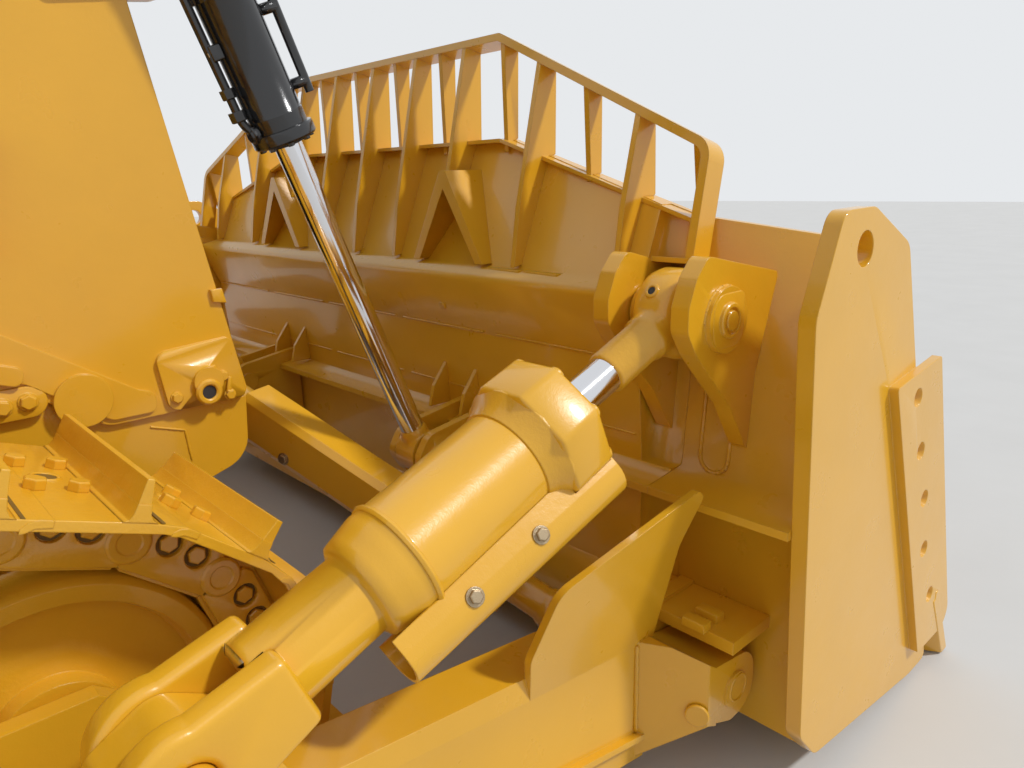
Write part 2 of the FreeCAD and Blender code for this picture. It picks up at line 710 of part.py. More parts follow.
def cab():
    """Hollow cab shell with its windows and both doorways cut out."""
    shell = side_plate(cab_outline(0), -CAB_HALF, CAB_HALF, [0, 0, 60, 60, 60])
    inner = CAB_HALF - CAB_WALL
    shell = shell.cut(side_plate(cab_outline(CAB_WALL), -inner, inner))
    doorway = side_plate(door_outline(SEAT + 6), -CAB_HALF - 20, CAB_HALF + 20, 40)
    rear_side = side_plate(
        [(x, z) for x, z in rear_window()], -CAB_HALF - 20, CAB_HALF + 20, 40)
    screen = front_plate([
        (-CAB_HALF + 90, PLATFORM_Z + 150), (CAB_HALF - 90, PLATFORM_Z + 150),
        (CAB_HALF - 90, CAB_ROOF - 110), (-CAB_HALF + 90, CAB_ROOF - 110)],
        CAB_FRONT - 320, CAB_FRONT + 60, 40)
    back = front_plate([
        (-CAB_HALF + 90, PLATFORM_Z + 250), (CAB_HALF - 90, PLATFORM_Z + 250),
        (CAB_HALF - 90, CAB_ROOF - 110), (-CAB_HALF + 90, CAB_ROOF - 110)],
        CAB_REAR - 60, CAB_REAR + 100, 40)
    shell = shell.cut(doorway).cut(rear_side).cut(screen).cut(back)
    knuckles = []
    for z in HINGE_HEIGHTS:
        low = z + 70 + GAP
        right = fused([
            Part.makeCylinder(15, 36, V(HINGE_X, HINGE_Y, low)),
            box(HINGE_X - 34, HINGE_X, HINGE_Y, -CAB_HALF + 3, low, low + 36)])
        knuckles += [right, mirrored(right)]
    return fused([shell] + knuckles)


def door_outline(grow):
    """Side outline of a cab door, grown by a clearance."""
    return [
        (DOOR_REAR - grow, PLATFORM_Z + 40 - grow), (DOOR_FRONT + grow, PLATFORM_Z + 40 - grow),
        (DOOR_FRONT + grow, PLATFORM_Z + 300), (DOOR_FRONT - 130 + grow, CAB_ROOF - 90 + grow),
        (DOOR_REAR - grow, CAB_ROOF - 90 + grow)]


def rear_window():
    return [
        (CAB_REAR + 90, PLATFORM_Z + 330), (DOOR_REAR - 80, PLATFORM_Z + 330),
        (DOOR_REAR - 80, CAB_ROOF - 110), (CAB_REAR + 90, CAB_ROOF - 110)]


def cab_door():
    """Right cab door with its glazed opening, handle and hinge barrels at the rear edge."""
    outer = side_plate(door_outline(0), -CAB_HALF, -CAB_HALF + CAB_WALL, 40)
    window = side_plate([
        (DOOR_REAR + 70, PLATFORM_Z + 110), (DOOR_FRONT - 70, PLATFORM_Z + 110),
        (DOOR_FRONT - 70, PLATFORM_Z + 290), (DOOR_FRONT - 185, CAB_ROOF - 160),
        (DOOR_REAR + 70, CAB_ROOF - 160)], -CAB_HALF - 10, -CAB_HALF + CAB_WALL + 10, 40)
    frame = outer.cut(window)
    glass = side_plate([
        (DOOR_REAR + 50, PLATFORM_Z + 90), (DOOR_FRONT - 50, PLATFORM_Z + 90),
        (DOOR_FRONT - 50, PLATFORM_Z + 295), (DOOR_FRONT - 168, CAB_ROOF - 140),
        (DOOR_REAR + 50, CAB_ROOF - 140)], -CAB_HALF + 16, -CAB_HALF + 16 + GLASS, 40)
    x0 = DOOR_FRONT - 50
    low = PLATFORM_Z + 140
    handle = fused([
        box(x0, x0 + 28, -CAB_HALF - 50, -CAB_HALF - 30, low, low + 150),
        box(x0, x0 + 28, -CAB_HALF - 50, -CAB_HALF + 5, low, low + 20),
        box(x0, x0 + 28, -CAB_HALF - 50, -CAB_HALF + 5, low + 130, low + 150)])
    leaves = []
    for z in HINGE_HEIGHTS:
        leaves.append(Part.makeCylinder(15, 70, V(HINGE_X, HINGE_Y, z)))
        leaves.append(box(HINGE_X, HINGE_X + 90, -CAB_HALF - 15, -CAB_HALF - 6, z, z + 70))
        leaves.append(box(DOOR_REAR + 8, HINGE_X + 90, -CAB_HALF - 15, -CAB_HALF + 4, z, z + 70))
    return fused([frame, glass, handle] + leaves)


def cab_glass():
    """Windscreen, rear window and rear side windows, set in the shell's openings."""
    y = CAB_HALF - 30
    screen = front_plate([
        (-CAB_HALF + 90 + SEAT, PLATFORM_Z + 150 + SEAT),
        (CAB_HALF - 90 - SEAT, PLATFORM_Z + 150 + SEAT),
        (CAB_HALF - 90 - SEAT, CAB_ROOF - 110 - SEAT),
        (-CAB_HALF + 90 + SEAT, CAB_ROOF - 110 - SEAT)], CAB_FRONT - 320, CAB_FRONT + 60, 40)
    slope = side_plate([
        (CAB_FRONT - 12, PLATFORM_Z + 100), (CAB_FRONT - 12 + GLASS, PLATFORM_Z + 100),
        (CAB_FRONT - 202 + GLASS, CAB_ROOF), (CAB_FRONT - 202, CAB_ROOF)], -CAB_HALF, CAB_HALF)
    back = front_plate([
        (-CAB_HALF + 90 + SEAT, PLATFORM_Z + 250 + SEAT),
        (CAB_HALF - 90 - SEAT, PLATFORM_Z + 250 + SEAT),
        (CAB_HALF - 90 - SEAT, CAB_ROOF - 110 - SEAT),
        (-CAB_HALF + 90 + SEAT, CAB_ROOF - 110 - SEAT)],
        CAB_REAR + 16, CAB_REAR + 16 + GLASS, 40)
    side = side_plate(
        [(x + dx * SEAT, z + dz * SEAT) for (x, z), (dx, dz) in zip(
            rear_window(), ((1, 1), (-1, 1), (-1, -1), (1, -1)))], -y, -y + GLASS, 40)
    return Part.makeCompound([screen.common(slope), back, side, mirrored(side)])


def cab_inside():
    """Seat with its pedestal, armrests and the instrument console."""
    floor = CAB_FLOOR + CAB_WALL + SEAT
    seat_x = -2150.0
    pieces = [
        box(seat_x - 230, seat_x + 230, -220, 220, floor, floor + 330),
        side_plate([(seat_x - 260, floor + 330), (seat_x + 260, floor + 330),
                    (seat_x + 275, floor + 450), (seat_x - 180, floor + 430)], -260, 260, 20),
        side_plate([(seat_x - 260, floor + 340), (seat_x - 150, floor + 360),
                    (seat_x - 250, floor + 1030), (seat_x - 350, floor + 1020)], -240, 240, 30),
    ]
    for side in (-1, 1):
        pieces.append(side_plate([
            (seat_x - 200, floor + 330), (seat_x + 300, floor + 330), (seat_x + 340, floor + 640),
            (seat_x - 200, floor + 660)], min(side * 258, side * 400), max(side * 258, side * 400),
            40))
    console = side_plate([
        (CAB_FRONT - CAB_WALL - SEAT, floor), (CAB_FRONT - CAB_WALL - SEAT, floor + 440),
        (CAB_FRONT - 240, floor + 560), (CAB_FRONT - 330, floor + 480), (CAB_FRONT - 300, floor)],
        -420, 420, [0, 20, 30, 30, 0])
    return Part.makeCompound([fused(pieces), console])


def rops():
    """Roll-over frame: two posts behind the cab and the canopy over it."""
    post = box(POST_X - 85, POST_X + 85, -ROPS_HALF + 30, -ROPS_HALF + POST_INSIDE,
               PLATFORM_Z + SEAT, ROPS_TOP - CANOPY_DEPTH + 30)
    foot = box(POST_X - 110, POST_X + 110, -ROPS_HALF - 20, -ROPS_HALF + POST_INSIDE + 8,
               PLATFORM_Z + SEAT, PLATFORM_Z + 30)
    canopy = side_plate([
        (POST_X - 110, ROPS_TOP - CANOPY_DEPTH), (CAB_FRONT - 60, ROPS_TOP - CANOPY_DEPTH),
        (CAB_FRONT + 40, ROPS_TOP - 80), (CAB_FRONT + 20, ROPS_TOP - 40), (-1700, ROPS_TOP),
        (POST_X - 110, ROPS_TOP)], -ROPS_HALF, ROPS_HALF, [30, 60, 10, 20, 100, 30])
    return fused([canopy, post, mirrored(post), foot, mirrored(foot)])


def cab_roof_unit():
    """Low air conditioner housing between the cab's roof and the canopy."""
    under = ROPS_TOP - CANOPY_DEPTH - SEAT
    return box(CAB_REAR + 140, CAB_FRONT - 330, -420, 420, CAB_ROOF + SEAT, under)


def fuel_tank():
    """Fuel tank behind the cab, rounded at its rear edges."""
    low = CASE_TOP + SEAT
    half = CAB_HALF - 4
    rear = CAB_REAR - 830
    front = CAB_REAR - 260
    high = low + TANK_HEIGHT
    tank = side_plate([
        (rear, low + 60), (rear + 150, low), (front, low), (front, high), (rear + 260, high),
        (rear, high - 220)], -half, half, [60, 60, 0, 0, 120, 120])
    cap = turned(V(front - 220, -430, high - 10), V(0, 0, 1), [(0, 70), (50, 70), (60, 60), (85, 60)])
    return fused([tank, cap])


def fender_boxes():
    """Hydraulic tank on the right fender and battery box on the left one."""
    x0 = CAB_REAR - 330
    y0 = ROPS_HALF + 26
    z0 = PLATFORM_Z + SEAT
    tank = side_plate([
        (x0, z0), (DOOR_REAR - 60, z0), (DOOR_REAR - 60, z0 + 420), (x0, z0 + 560)],
        -FENDER_OUT + 20, -y0, [20, 20, 60, 60])
    battery = side_plate([
        (x0, z0), (DOOR_REAR - 60, z0), (DOOR_REAR - 60, z0 + 330), (x0, z0 + 330)],
        y0, FENDER_OUT - 20, [20, 20, 40, 40])
    return Part.makeCompound([tank, battery])


def lamps():
    """Work lamps hanging under the canopy's front and rear edges."""
    under = ROPS_TOP - CANOPY_DEPTH - SEAT
    z = under - 84
    solids = []
    for x, way in ((CAB_FRONT - 150, 1), (POST_X + 10, -1)):
        far = ROPS_HALF - POST_INSIDE - LAMP_CLEAR
        for y in (-far, 300 - far, far - 300, far):
            body = turned(V(x, y, z), V(way, 0, 0), [(0, 30), (40, 62), (90, 66), (96, 60)])
            stem = box(x + way * 60 - 18, x + way * 60 + 18, y - 22, y + 22, z + 40, under)
            solids.append(fused([body, stem]))
    return Part.makeCompound(solids)


def rails():
    """Grab rails beside the doors and the bar on the nose's flank."""
    def bent_bar(points, radius):
        pieces = []
        for a, b in zip(points, points[1:]):
            pieces.append(rod(a, b, radius))
        for p in points[1:-1]:
            pieces.append(Part.makeSphere(radius, p))
        return fused(pieces)

    y = -CAB_HALF
    post = bent_bar([
        V(CAB_FRONT - 60, y - SEAT, PLATFORM_Z + 230), V(CAB_FRONT - 60, y - 70, PLATFORM_Z + 230),
        V(CAB_FRONT - 180, y - 70, PLATFORM_Z + 930), V(CAB_FRONT - 180, y - SEAT, PLATFORM_Z + 930)],
        15)
    flank = bent_bar([
        V(120, -NOSE_HALF - SEAT, 1475), V(120, -NOSE_HALF - 60, 1475),
        V(150, -NOSE_HALF - 60, 1700), V(150, -NOSE_HALF - SEAT, 1700)], 14)
    return Part.makeCompound([post, mirrored(post), flank, mirrored(flank)])


def lift_yokes():
    """Yokes on the nose's upper corners in which the lift cylinders swing."""
    x = LIFT_PIVOT_X
    z = LIFT_PIVOT_Z
    near = -LIFT_Y + LIFT_BARREL + 12
    flank = side_plate([
        (x - 330, z - 150), (x - 60, z - 110), (x - 60, z + 60), (x - 330, z + 30)],
        near, -NOSE_HALF - SEAT, [20, 40, 40, 20])
    arm = side_plate([
        (x - 130, z - 120), (x - 60, z - 112), (x + 70, z - 50), (x + 70, z + 50),
        (x - 60, z + 88), (x - 130, z + 60)], near, -NOSE_HALF + 95, [10, 60, 50, 50, 40, 10])
    boss = pin_y(x, z, near - 2, near + 20, 66)
    bore = pin_y(x, z, near - 10, -NOSE_HALF + 45, LIFT_STUB + GAP)
    return both_sides(fused([flank, arm, boss]).cut(bore))


def lift_axis():
    """Pivot, direction down the rod and length of a lift cylinder at rest."""
    pivot = V(LIFT_PIVOT_X, -LIFT_Y, LIFT_PIVOT_Z)
    eye = V(LIFT_EYE_X, -LIFT_Y, LIFT_EYE_Z)
    return pivot, unit(eye - pivot), (eye - pivot).Length


def lift_barrel():
    """Barrel of a lift cylinder with its gland, trunnion ring and head."""
    pivot, way, reach = lift_axis()
    body = turned(pivot, way, [
        # distance down from the pivot, radius
        (-LIFT_HEAD, LIFT_BARREL + 4), (-LIFT_HEAD + 90, LIFT_BARREL + 4),
        (-LIFT_HEAD + 95, LIFT_BARREL), (-80, LIFT_BARREL), (-75, LIFT_BARREL + 4),
        (75, LIFT_BARREL + 4), (80, LIFT_BARREL), (LIFT_GLAND - 70, LIFT_BARREL),
        (LIFT_GLAND - 68, LIFT_BARREL + 2), (LIFT_GLAND, LIFT_BARREL + 2)])
    bore = rod(pivot + way * (-LIFT_HEAD + 80), pivot + way * (LIFT_GLAND + 1), LIFT_ROD + GAP)
    stub = pin_y(LIFT_PIVOT_X, LIFT_PIVOT_Z, -LIFT_Y, -NOSE_HALF + 40, LIFT_STUB)
    line = way.cross(V(0, 1, 0))
    offset = line * (LIFT_BARREL + 34) + V(0, -30, 0)
    hose = rod(pivot + offset + way * -LIFT_HEAD * 0.9, pivot + offset + way * (LIFT_GLAND - 90), 12)
    clamps = []
    for along in (-LIFT_HEAD * 0.85, -200.0, 180.0, LIFT_GLAND - 120):
        at = pivot + way * along
        clamps.append(rod(at + line * (LIFT_BARREL - 6) + V(0, -24, 0), at + offset, 14))
    return fused([body, stub, hose] + clamps).cut(bore)


def lift_rod():
    """Rod of a lift cylinder with its forked-in eye."""
    pivot, way, reach = lift_axis()
    shaft = rod(pivot + way * 40, pivot + way * (reach - 60), LIFT_ROD)
    neck = turned(pivot + way * (reach - 96), way, [(0, 40), (10, 44), (60, 48), (80, 48)])
    eye = pin_y(LIFT_EYE_X, LIFT_EYE_Z, -LIFT_Y - 48, -LIFT_Y + 48, 74)
    hole = pin_y(LIFT_EYE_X, LIFT_EYE_Z, -LIFT_Y - 50, -LIFT_Y + 50, 34)
    return fused([shaft, neck, eye]).cut(hole)


def arm_top(x):
    """Height of a push arm's upper face."""
    return 585.0 - 0.114 * (x - 340.0)


def push_arm():
    """Box-section push arm with its trunnion cap, cylinder lug, guide and head."""
    y0 = -ARM_Y - ARM_HALF
    y1 = -ARM_Y + ARM_HALF
    body = side_plate([
        (TRUNNION_X + 130, TRUNNION_Z - 110), (-600, 240), (900, 130), (1215, 75),
        (1215, arm_top(1215)), (-300, arm_top(-300)), (-900, 690), (TRUNNION_X + 130, 640)],
        y0, y1, [0, 300, 200, 0, 0, 200, 200, 0])
    cap = turned(V(TRUNNION_X, y0 - 10, TRUNNION_Z), V(0, 1, 0), [
        (0, 120), (10, 165), (2 * ARM_HALF + 20, 165)])
    neck = side_plate([
        (TRUNNION_X, TRUNNION_Z - 130), (TRUNNION_X + 200, TRUNNION_Z - 130),
        (TRUNNION_X + 200, TRUNNION_Z + 130), (TRUNNION_X, TRUNNION_Z + 130)], y0, y1)
    ball = Part.makeSphere(TRUNNION_BALL, V(TRUNNION_X, -ARM_Y, TRUNNION_Z))
    throat = pin_y(TRUNNION_X, TRUNNION_Z, -ARM_Y, y1 + 30, 80)
    flange = side_plate([
        (-500, 285), (900, 207), (1200, 148), (1200, 166), (900, 226), (-500, 304)],
        y0 - 22, y0 + 4)
    x = HEAD_X
    z = HEAD_Z
    back = x - HEAD_BACK
    cheek = plan_plate([
        (back - 85, y0), (back, y0 - HEAD_FLARE), (back + 40, y0 - HEAD_FLARE),
        (back + 40, -ARM_Y - 24), (back + 25, -ARM_Y - 24), (back - 60, -ARM_Y),
        (back - 85, -ARM_Y)], z - 190, z + 160)
    trim = side_plate([
        (back - 95, z + 165), (back - 50, z + 165), (back + 40, z + 100), (back + 50, z + 100),
        (back + 50, z + 170), (back - 95, z + 170)], y0 - HEAD_FLARE - 5, -ARM_Y + 5, 0)
    scoop = side_plate([
        (back + 1, z - 50), (back + 50, z - 75), (back + 50, z - 195), (back - 90, z - 195)],
        y0 - HEAD_FLARE - 5, y0 - 1)
    block = side_plate([
        (back, z - 45), (x - 10, z - 92), (x + 95, z - 82), (x + 95, z + 82), (back, z + 112)],
        y0 - HEAD_FLARE, -ARM_Y - 24, [0, 40, 75, 75, 0])
    inner = side_plate([
        (1200, z - 90), (x + 84, z - 84), (x + 84, z + 84), (1200, z + 120)],
        -ARM_Y + 30, y1, [0, 80, 80, 0])
    pin = pin_y(x, z, y0 - HEAD_FLARE - 6, y1 + 8, HEAD_PIN)
    fin_points = []
    for fx, fz in ((804, 466), (777, 596), (828, 754), (1254, 866), (1284, 842), (1239, 718),
                   (1245, 425), (1205, 395)):
        rise = fz - 470 + 0.1205 * (fx - 800)
        fin_points.append(V(fx, y0 - FIN_LEAN * rise, fz))
    fin_wire = rounded(fin_points, [10, 60, 60, 10, 16, 80, 20, 10])
    fin = Part.Face(fin_wire).extrude(V(0, FIN_THICK, 0))
    lug = side_plate([
        (TILT_LOW_X - 190, arm_top(TILT_LOW_X) - 30), (TILT_LOW_X + 190, arm_top(TILT_LOW_X) - 30),
        (TILT_LOW_X + 105, TILT_LOW_Z + 40), (TILT_LOW_X, TILT_LOW_Z + 100),
        (TILT_LOW_X - 105, TILT_LOW_Z + 40)], -TILT_Y - 40, -TILT_Y + 40, [0, 0, 40, 60, 40])
    brace_pin = pin_y(TILT_LOW_X, TILT_LOW_Z, -TILT_Y - 120, -TILT_Y + 120, 42)
    whole = fused([
        body, cap, neck, flange, cheek.cut(trim).cut(scoop), block, inner, pin, fin, lug, brace_pin])
    return whole.cut(fused([ball, throat]))


def tilt_axis():
    """Low pin, direction up the rod and length of a tilt cylinder at rest."""
    low = V(TILT_LOW_X, -TILT_Y, TILT_LOW_Z)
    eye = V(TILT_EYE_X, -TILT_Y, TILT_EYE_Z)
    return low, unit(eye - low), (eye - low).Length


def tilt_head(grow):
    """Eight-sided head of a tilt cylinder's barrel, grown by a clearance."""
    low, way, reach = tilt_axis()
    upward = V(-way.z, 0, way.x)
    points = []
    for i in range(8):
        angle = math.radians(22.5 + 45 * i)
        spoke = V(0, 1, 0) * math.cos(angle) + upward * math.sin(angle)
        points.append(low + way * (TILT_HEAD_BACK - grow) + spoke * (TILT_HEAD + grow))
    return face_of(points).extrude(way * (TILT_HEAD_FRONT - TILT_HEAD_BACK + 2 * grow))


def tilt_body(grow):
    """Neck tube, cast skirt and barrel of a tilt cylinder, grown by a clearance."""
    low, way, reach = tilt_axis()
    rows = [
        # distance up from the low pin, radius
        (150, TILT_NECK - 9), (158, TILT_NECK), (373, TILT_NECK), (383, TILT_BARREL - 14),
        (448, TILT_BARREL + 1), (472, TILT_BARREL + 1), (474, TILT_BARREL + 5),
        (482, TILT_BARREL), (TILT_HEAD_BACK - 23, TILT_BARREL),
        (TILT_HEAD_BACK - 21, TILT_BARREL - 12), (TILT_HEAD_BACK + 20, TILT_BARREL - 12)]
    return turned(low, way, [(along, radius + grow) for along, radius in rows])


def tilt_barrel():
    """Tilt cylinder barrel with its neck tube, cast eight-sided head and lower fork."""
    low, way, reach = tilt_axis()
    across = V(-way.z, 0, way.x)
    fork = []
    for side in (-1, 1):
        a = -TILT_Y + side * 41
        b = -TILT_Y + side * 100
        fork.append(pin_y(TILT_LOW_X, TILT_LOW_Z, min(a, b), max(a, b), 104))
        start = V(TILT_LOW_X, min(a, b), TILT_LOW_Z)
        cheek = [
            start + across * 96, start + across * 76 + way * 205,
            start - across * 76 + way * 205, start - across * 96]
        fork.append(face_of(cheek).extrude(V(0, abs(b - a), 0)))
    hole = pin_y(TILT_LOW_X, TILT_LOW_Z, -TILT_Y - 130, -TILT_Y + 130, 42 + GAP)
    bore = rod(low + way * 490, low + way * (TILT_HEAD_FRONT + 1), TILT_ROD + GAP)
    return fused([tilt_body(0), tilt_head(0)] + fork).cut(hole).cut(bore)


def tilt_rod():
    """Tilt cylinder rod with its thicker end, neck ring and wide eye."""
    low, way, reach = tilt_axis()
    shaft = rod(low + way * 640, low + way * (reach - 270), TILT_ROD)
    end = turned(low, way, [
        # distance up from the low pin, radius
        (reach - 284, TILT_ROD + 2), (reach - 278, TILT_ROD + 8), (reach - 134, TILT_ROD + 8),
        (reach - 131, TILT_ROD + 14), (reach - 118, TILT_ROD + 14), (reach - 60, TILT_ROD + 24)])
    eye = turned(V(TILT_EYE_X, -TILT_Y, TILT_EYE_Z), V(0, 1, 0), [
        (-TILT_EYE_HALF, 66), (-60, 68), (-58, 92), (-46, 105), (-28, 112), (28, 112),
        (46, 105), (58, 92), (60, 68), (TILT_EYE_HALF, 66)])
    hole = pin_y(TILT_EYE_X, TILT_EYE_Z, -TILT_Y - 95, -TILT_Y + 95, 44)
    return fused([shaft, end, eye]).cut(hole)


def line_guard():
    """Half-tube guard over the tilt cylinder's hydraulic lines, on its lower outer side."""
    low, way, reach = tilt_axis()
    upward = V(-way.z, 0, way.x)
    outward = unit(V(0, -0.62, 0) - upward * 0.78)
    across = way.cross(outward)
    radius = 58.0
    centre = TILT_BARREL + 16.0
    first = 357.0

    def outline(size):
        rows = [(-size, 60)]
        for angle in range(-90, 91, 15):
            turn = math.radians(angle)
            rows.append((size * math.sin(turn), centre + size * math.cos(turn)))
        return rows + [(size, 60)]

    rows = outline(radius) + outline(radius - 7)[::-1]
    points = [low + way * first + across * a + outward * b for a, b in rows]
    tube = face_of(points).extrude(way * (TILT_HEAD_FRONT + 6 - first) + outward * 24)
    return tube.cut(rod(low, low + way * TILT_HEAD_BACK, TILT_BARREL + SEAT)).cut(
        tilt_body(SEAT)).cut(tilt_head(SEAT))


def face_x(z):
    """Station of the moldboard's hollow face at a height."""
    return FACE_X - math.sqrt(FACE_RADIUS ** 2 - (z - FACE_Z) ** 2)


def section(top, low, back, y, shift):
    """Wire of a blade section: hollow face in front, given points behind."""
    middle = (top + low) / 2
    upper = V(face_x(top) + shift, y, top)
    lower = V(face_x(low) + shift, y, low)
    edges = [Part.Arc(upper, V(face_x(middle) + shift, y, middle), lower).toShape()]
    points = [lower] + [V(x, y, z) for x, z in back] + [upper]
    for a, b in zip(points, points[1:]):
        edges.append(Part.LineSegment(a, b).toShape())
    return Part.Wire(edges)


def blade_middle():
    """Straight middle stretch of the moldboard with its box beams behind."""
    lower_box = [
        (face_x(EDGE_TOP) - 30, 200), (1500, 118), (1425, 150), (1408, 400), (1450, 440), (1450, 760),
        (1345, 764), (1345, 786), (1450, 800), (1430, 1090)]
    upper_box = [
        (1352, 1276), (1354, 1300), (1440, 1318), (face_x(BLADE_TOP) - BLADE_SKIN, BLADE_TOP)]
    whole = section(BLADE_TOP, EDGE_TOP, lower_box + upper_box, -BLADE_FLAT, 0)
    solid = Part.Face(whole).extrude(V(0, 2 * BLADE_FLAT, 0))
    cuts = []
    for side in (-1, 1):
        slope = front_plate([
            (side * GUARD_BEND, BLADE_TOP), (side * (BLADE_FLAT + 10), BLADE_END_TOP - 3),
            (side * (BLADE_FLAT + 10), 2300), (side * GUARD_BEND, 2300)], 1200, 2300)
        cuts.append(slope)
        inner = min(side * RECESS_Y, side * (BLADE_FLAT + 5))
        outer = max(side * RECESS_Y, side * (BLADE_FLAT + 5))
        notch = side_plate([
            (1200, 805), (1500, 805), (1530, 1090), (face_x(1400) - BLADE_SKIN, 1400),
            (face_x(BLADE_TOP) - BLADE_SKIN, BLADE_TOP + 40), (1200, BLADE_TOP + 40)],
            inner, outer)
        cuts.append(notch)
        cuts.append(box(1200, RECESS_X, inner, outer, RECESS_LOW, RECESS_HIGH))
    for cut in cuts:
        solid = solid.cut(cut)
    return solid


def blade_wing():
    """Right wing, turned forward, with the lower box beam running on behind it."""
    back = [
        (face_x(EDGE_TOP) - 30, 200), (1500, 118), (1425, 150), (1408, 400), (1450, 440), (1450, 760),
        (1345, 764), (1345, 786), (1500, 805), (1530, 1090)]
    inner = section(BLADE_END_TOP, EDGE_TOP, back + [
        (face_x(BLADE_END_TOP) - BLADE_SKIN, BLADE_END_TOP)], -BLADE_FLAT - SEAT, 0)
    far_top = BLADE_END_TOP - 75
    outer = section(far_top, EDGE_TOP, back + [
        (face_x(far_top) - BLADE_SKIN + WING_SWEEP, far_top)], -PLATE_Y + SEAT, WING_SWEEP)
    recess = box(1200, RECESS_X, -PLATE_Y, -BLADE_FLAT + 5, RECESS_LOW, RECESS_HIGH)
    return Part.makeLoft([inner, outer], True, True).cut(recess)


def end_plate():
    """Right end plate with its lifting hole and bolt-on wear plate."""
    y0 = -PLATE_Y - PLATE_THICK
    plate = side_plate([
        (1408, 215), (1500, 112), (2150, 22), (2280, 24), (1900, 1098), (1775, 1412),
        (1560, 1508), (1413, 1505), (1318, 1286)], y0, -PLATE_Y,
        [60, 60, 20, 20, 40, 60, 60, 50, 80])
    plate = plate.cut(pin_y(1525, 1418, y0 - 1, -PLATE_Y + 1, 40))
    wear = side_plate([
        (1735, 1059), (2021, 1094), (2395, 120), (2130, 120)], y0 - 24, y0, [10, 10, 60, 10])
    for x, z in ((1879, 1007), (1945, 841), (2019, 678), (2068, 502), (2171, 309)):
        wear = wear.cut(Part.makeCone(26, 12, 30, V(x, y0 - 25, z), V(0, 1, 0)))
    return fused([plate, wear])


def edge_strip(y, shift):
    """Outline of the cutting edge at a station along the blade."""
    x = face_x(EDGE_TOP) + shift
    points = [
        V(x + SEAT, y, EDGE_TOP), V(x + EDGE_REACH, y, 6), V(x + EDGE_REACH + 42, y, 6),
        V(x + EDGE_REACH + 40, y, 18), V(x + 32, y, EDGE_TOP + 30), V(x + 14, y, EDGE_TOP + 30),
        V(x + 14, y, EDGE_TOP + 4)]
    return points


def edge_wing():
    """Angled end bit on the right."""
    ends = []
    far = PLATE_Y + PLATE_THICK + 26
    sweep = WING_SWEEP * (far - BLADE_FLAT) / (PLATE_Y - BLADE_FLAT)
    for y, shift in ((-BLADE_FLAT - SEAT, 0.0), (-far, sweep)):
        points = edge_strip(y, shift)
        ends.append(Part.makePolygon(points + [points[0]]))
    return Part.makeLoft(ends, True, True)


def blade_edges():
    """Cutting edge across the middle; the angled end bits stand outside it."""
    middle = face_of(edge_strip(-BLADE_FLAT, 0.0)).extrude(V(0, 2 * BLADE_FLAT, 0))
    wing = edge_wing()
    return [middle, wing, mirrored(wing)]


def guard_height(y):
    """Height of the spill guard's top rail at a distance from the middle plane."""
    y = abs(y)
    if y <= GUARD_BEND:
        return GUARD_TOP
    share = (y - GUARD_BEND) / (GUARD_END - GUARD_BEND)
    return GUARD_TOP + (GUARD_END_TOP - GUARD_TOP) * share


def top_height(y):
    """Height of the moldboard's top edge at a distance from the middle plane."""
    y = abs(y)
    if y <= GUARD_BEND:
        return BLADE_TOP
    share = (y - GUARD_BEND) / (BLADE_FLAT - GUARD_BEND)
    return BLADE_TOP + (BLADE_END_TOP - BLADE_TOP) * share


def guard_x(z):
    """Station of the spill guard's leaning plane at a height."""
    return 1600 + (z - GUARD_TOP) * GUARD_LEAN


def guard_rail():
    """Bent rail of the spill guard, drawn upright and then leaned about its top."""
    lean = math.atan(GUARD_LEAN)
    drop = (GUARD_TOP - GUARD_END_TOP) / math.cos(lean)
    slope = math.atan(drop / (GUARD_END - GUARD_BEND))
    inner_bend = GUARD_BEND - GUARD_BAR * math.tan(slope / 2)
    inner_end = GUARD_END - GUARD_BAR
    inner_drop = GUARD_BAR + math.tan(slope) * (inner_end - inner_bend)
    foot = (GUARD_TOP - GUARD_FOOT) / math.cos(lean)
    half = [
        # from the middle, below the top
        (GUARD_BEND, 0.0), (GUARD_END, drop), (GUARD_END, foot), (inner_end, foot),
        (inner_end, inner_drop), (inner_bend, GUARD_BAR)]
    right = [(-y, GUARD_TOP - fall) for y, fall in half]
    left = [(y, GUARD_TOP - fall) for y, fall in half]
    radii = [40, 64, 0, 0, 40, 16]
    x = guard_x(GUARD_TOP)
    rail = front_plate(right + left[::-1], x - GUARD_DEPTH / 2, x + GUARD_DEPTH / 2,
                       radii + radii[::-1])
    rail.rotate(V(x, 0, GUARD_TOP), V(0, 1, 0), math.degrees(lean))
    return rail


def guard_shelf(y0, y1):
    """Narrow flange along the moldboard's top edge, closing the guard's windows below."""
    ends = []
    for y in (y0, y1):
        z = top_height(y) - 2
        x = face_x(z) - BLADE_SKIN
        corners = [V(x - 44, y, z - 12), V(x + 8, y, z - 12), V(x + 8, y, z), V(x - 44, y, z)]
        ends.append(Part.makePolygon(corners + [corners[0]]))
    return Part.makeLoft(ends, True, True)


def guard_rib(y, long):
    """Rib of the spill guard, wide above; a long one runs down to the upper ledge."""
    high = guard_height(y) - GUARD_BAR / 2
    low = min(top_height(y), BLADE_TOP)
    x_high = guard_x(high)
    foot = face_x(low) - BLADE_SKIN
    if long:
        outline = [(x_high + 30, high), (foot + BLADE_SKIN - 6, low + 2), (foot + 4, low - 6),
                   (1452, 1330), (1412, 1322), (1440, 1500), (x_high - 34, high)]
    else:
        outline = [(x_high + 30, high), (foot + BLADE_SKIN - 6, low + 2), (foot + 6, low - 4),
                   (foot - 26, low - 40), (x_high - 30, high)]
    return side_plate(outline, y - 9, y + 9)


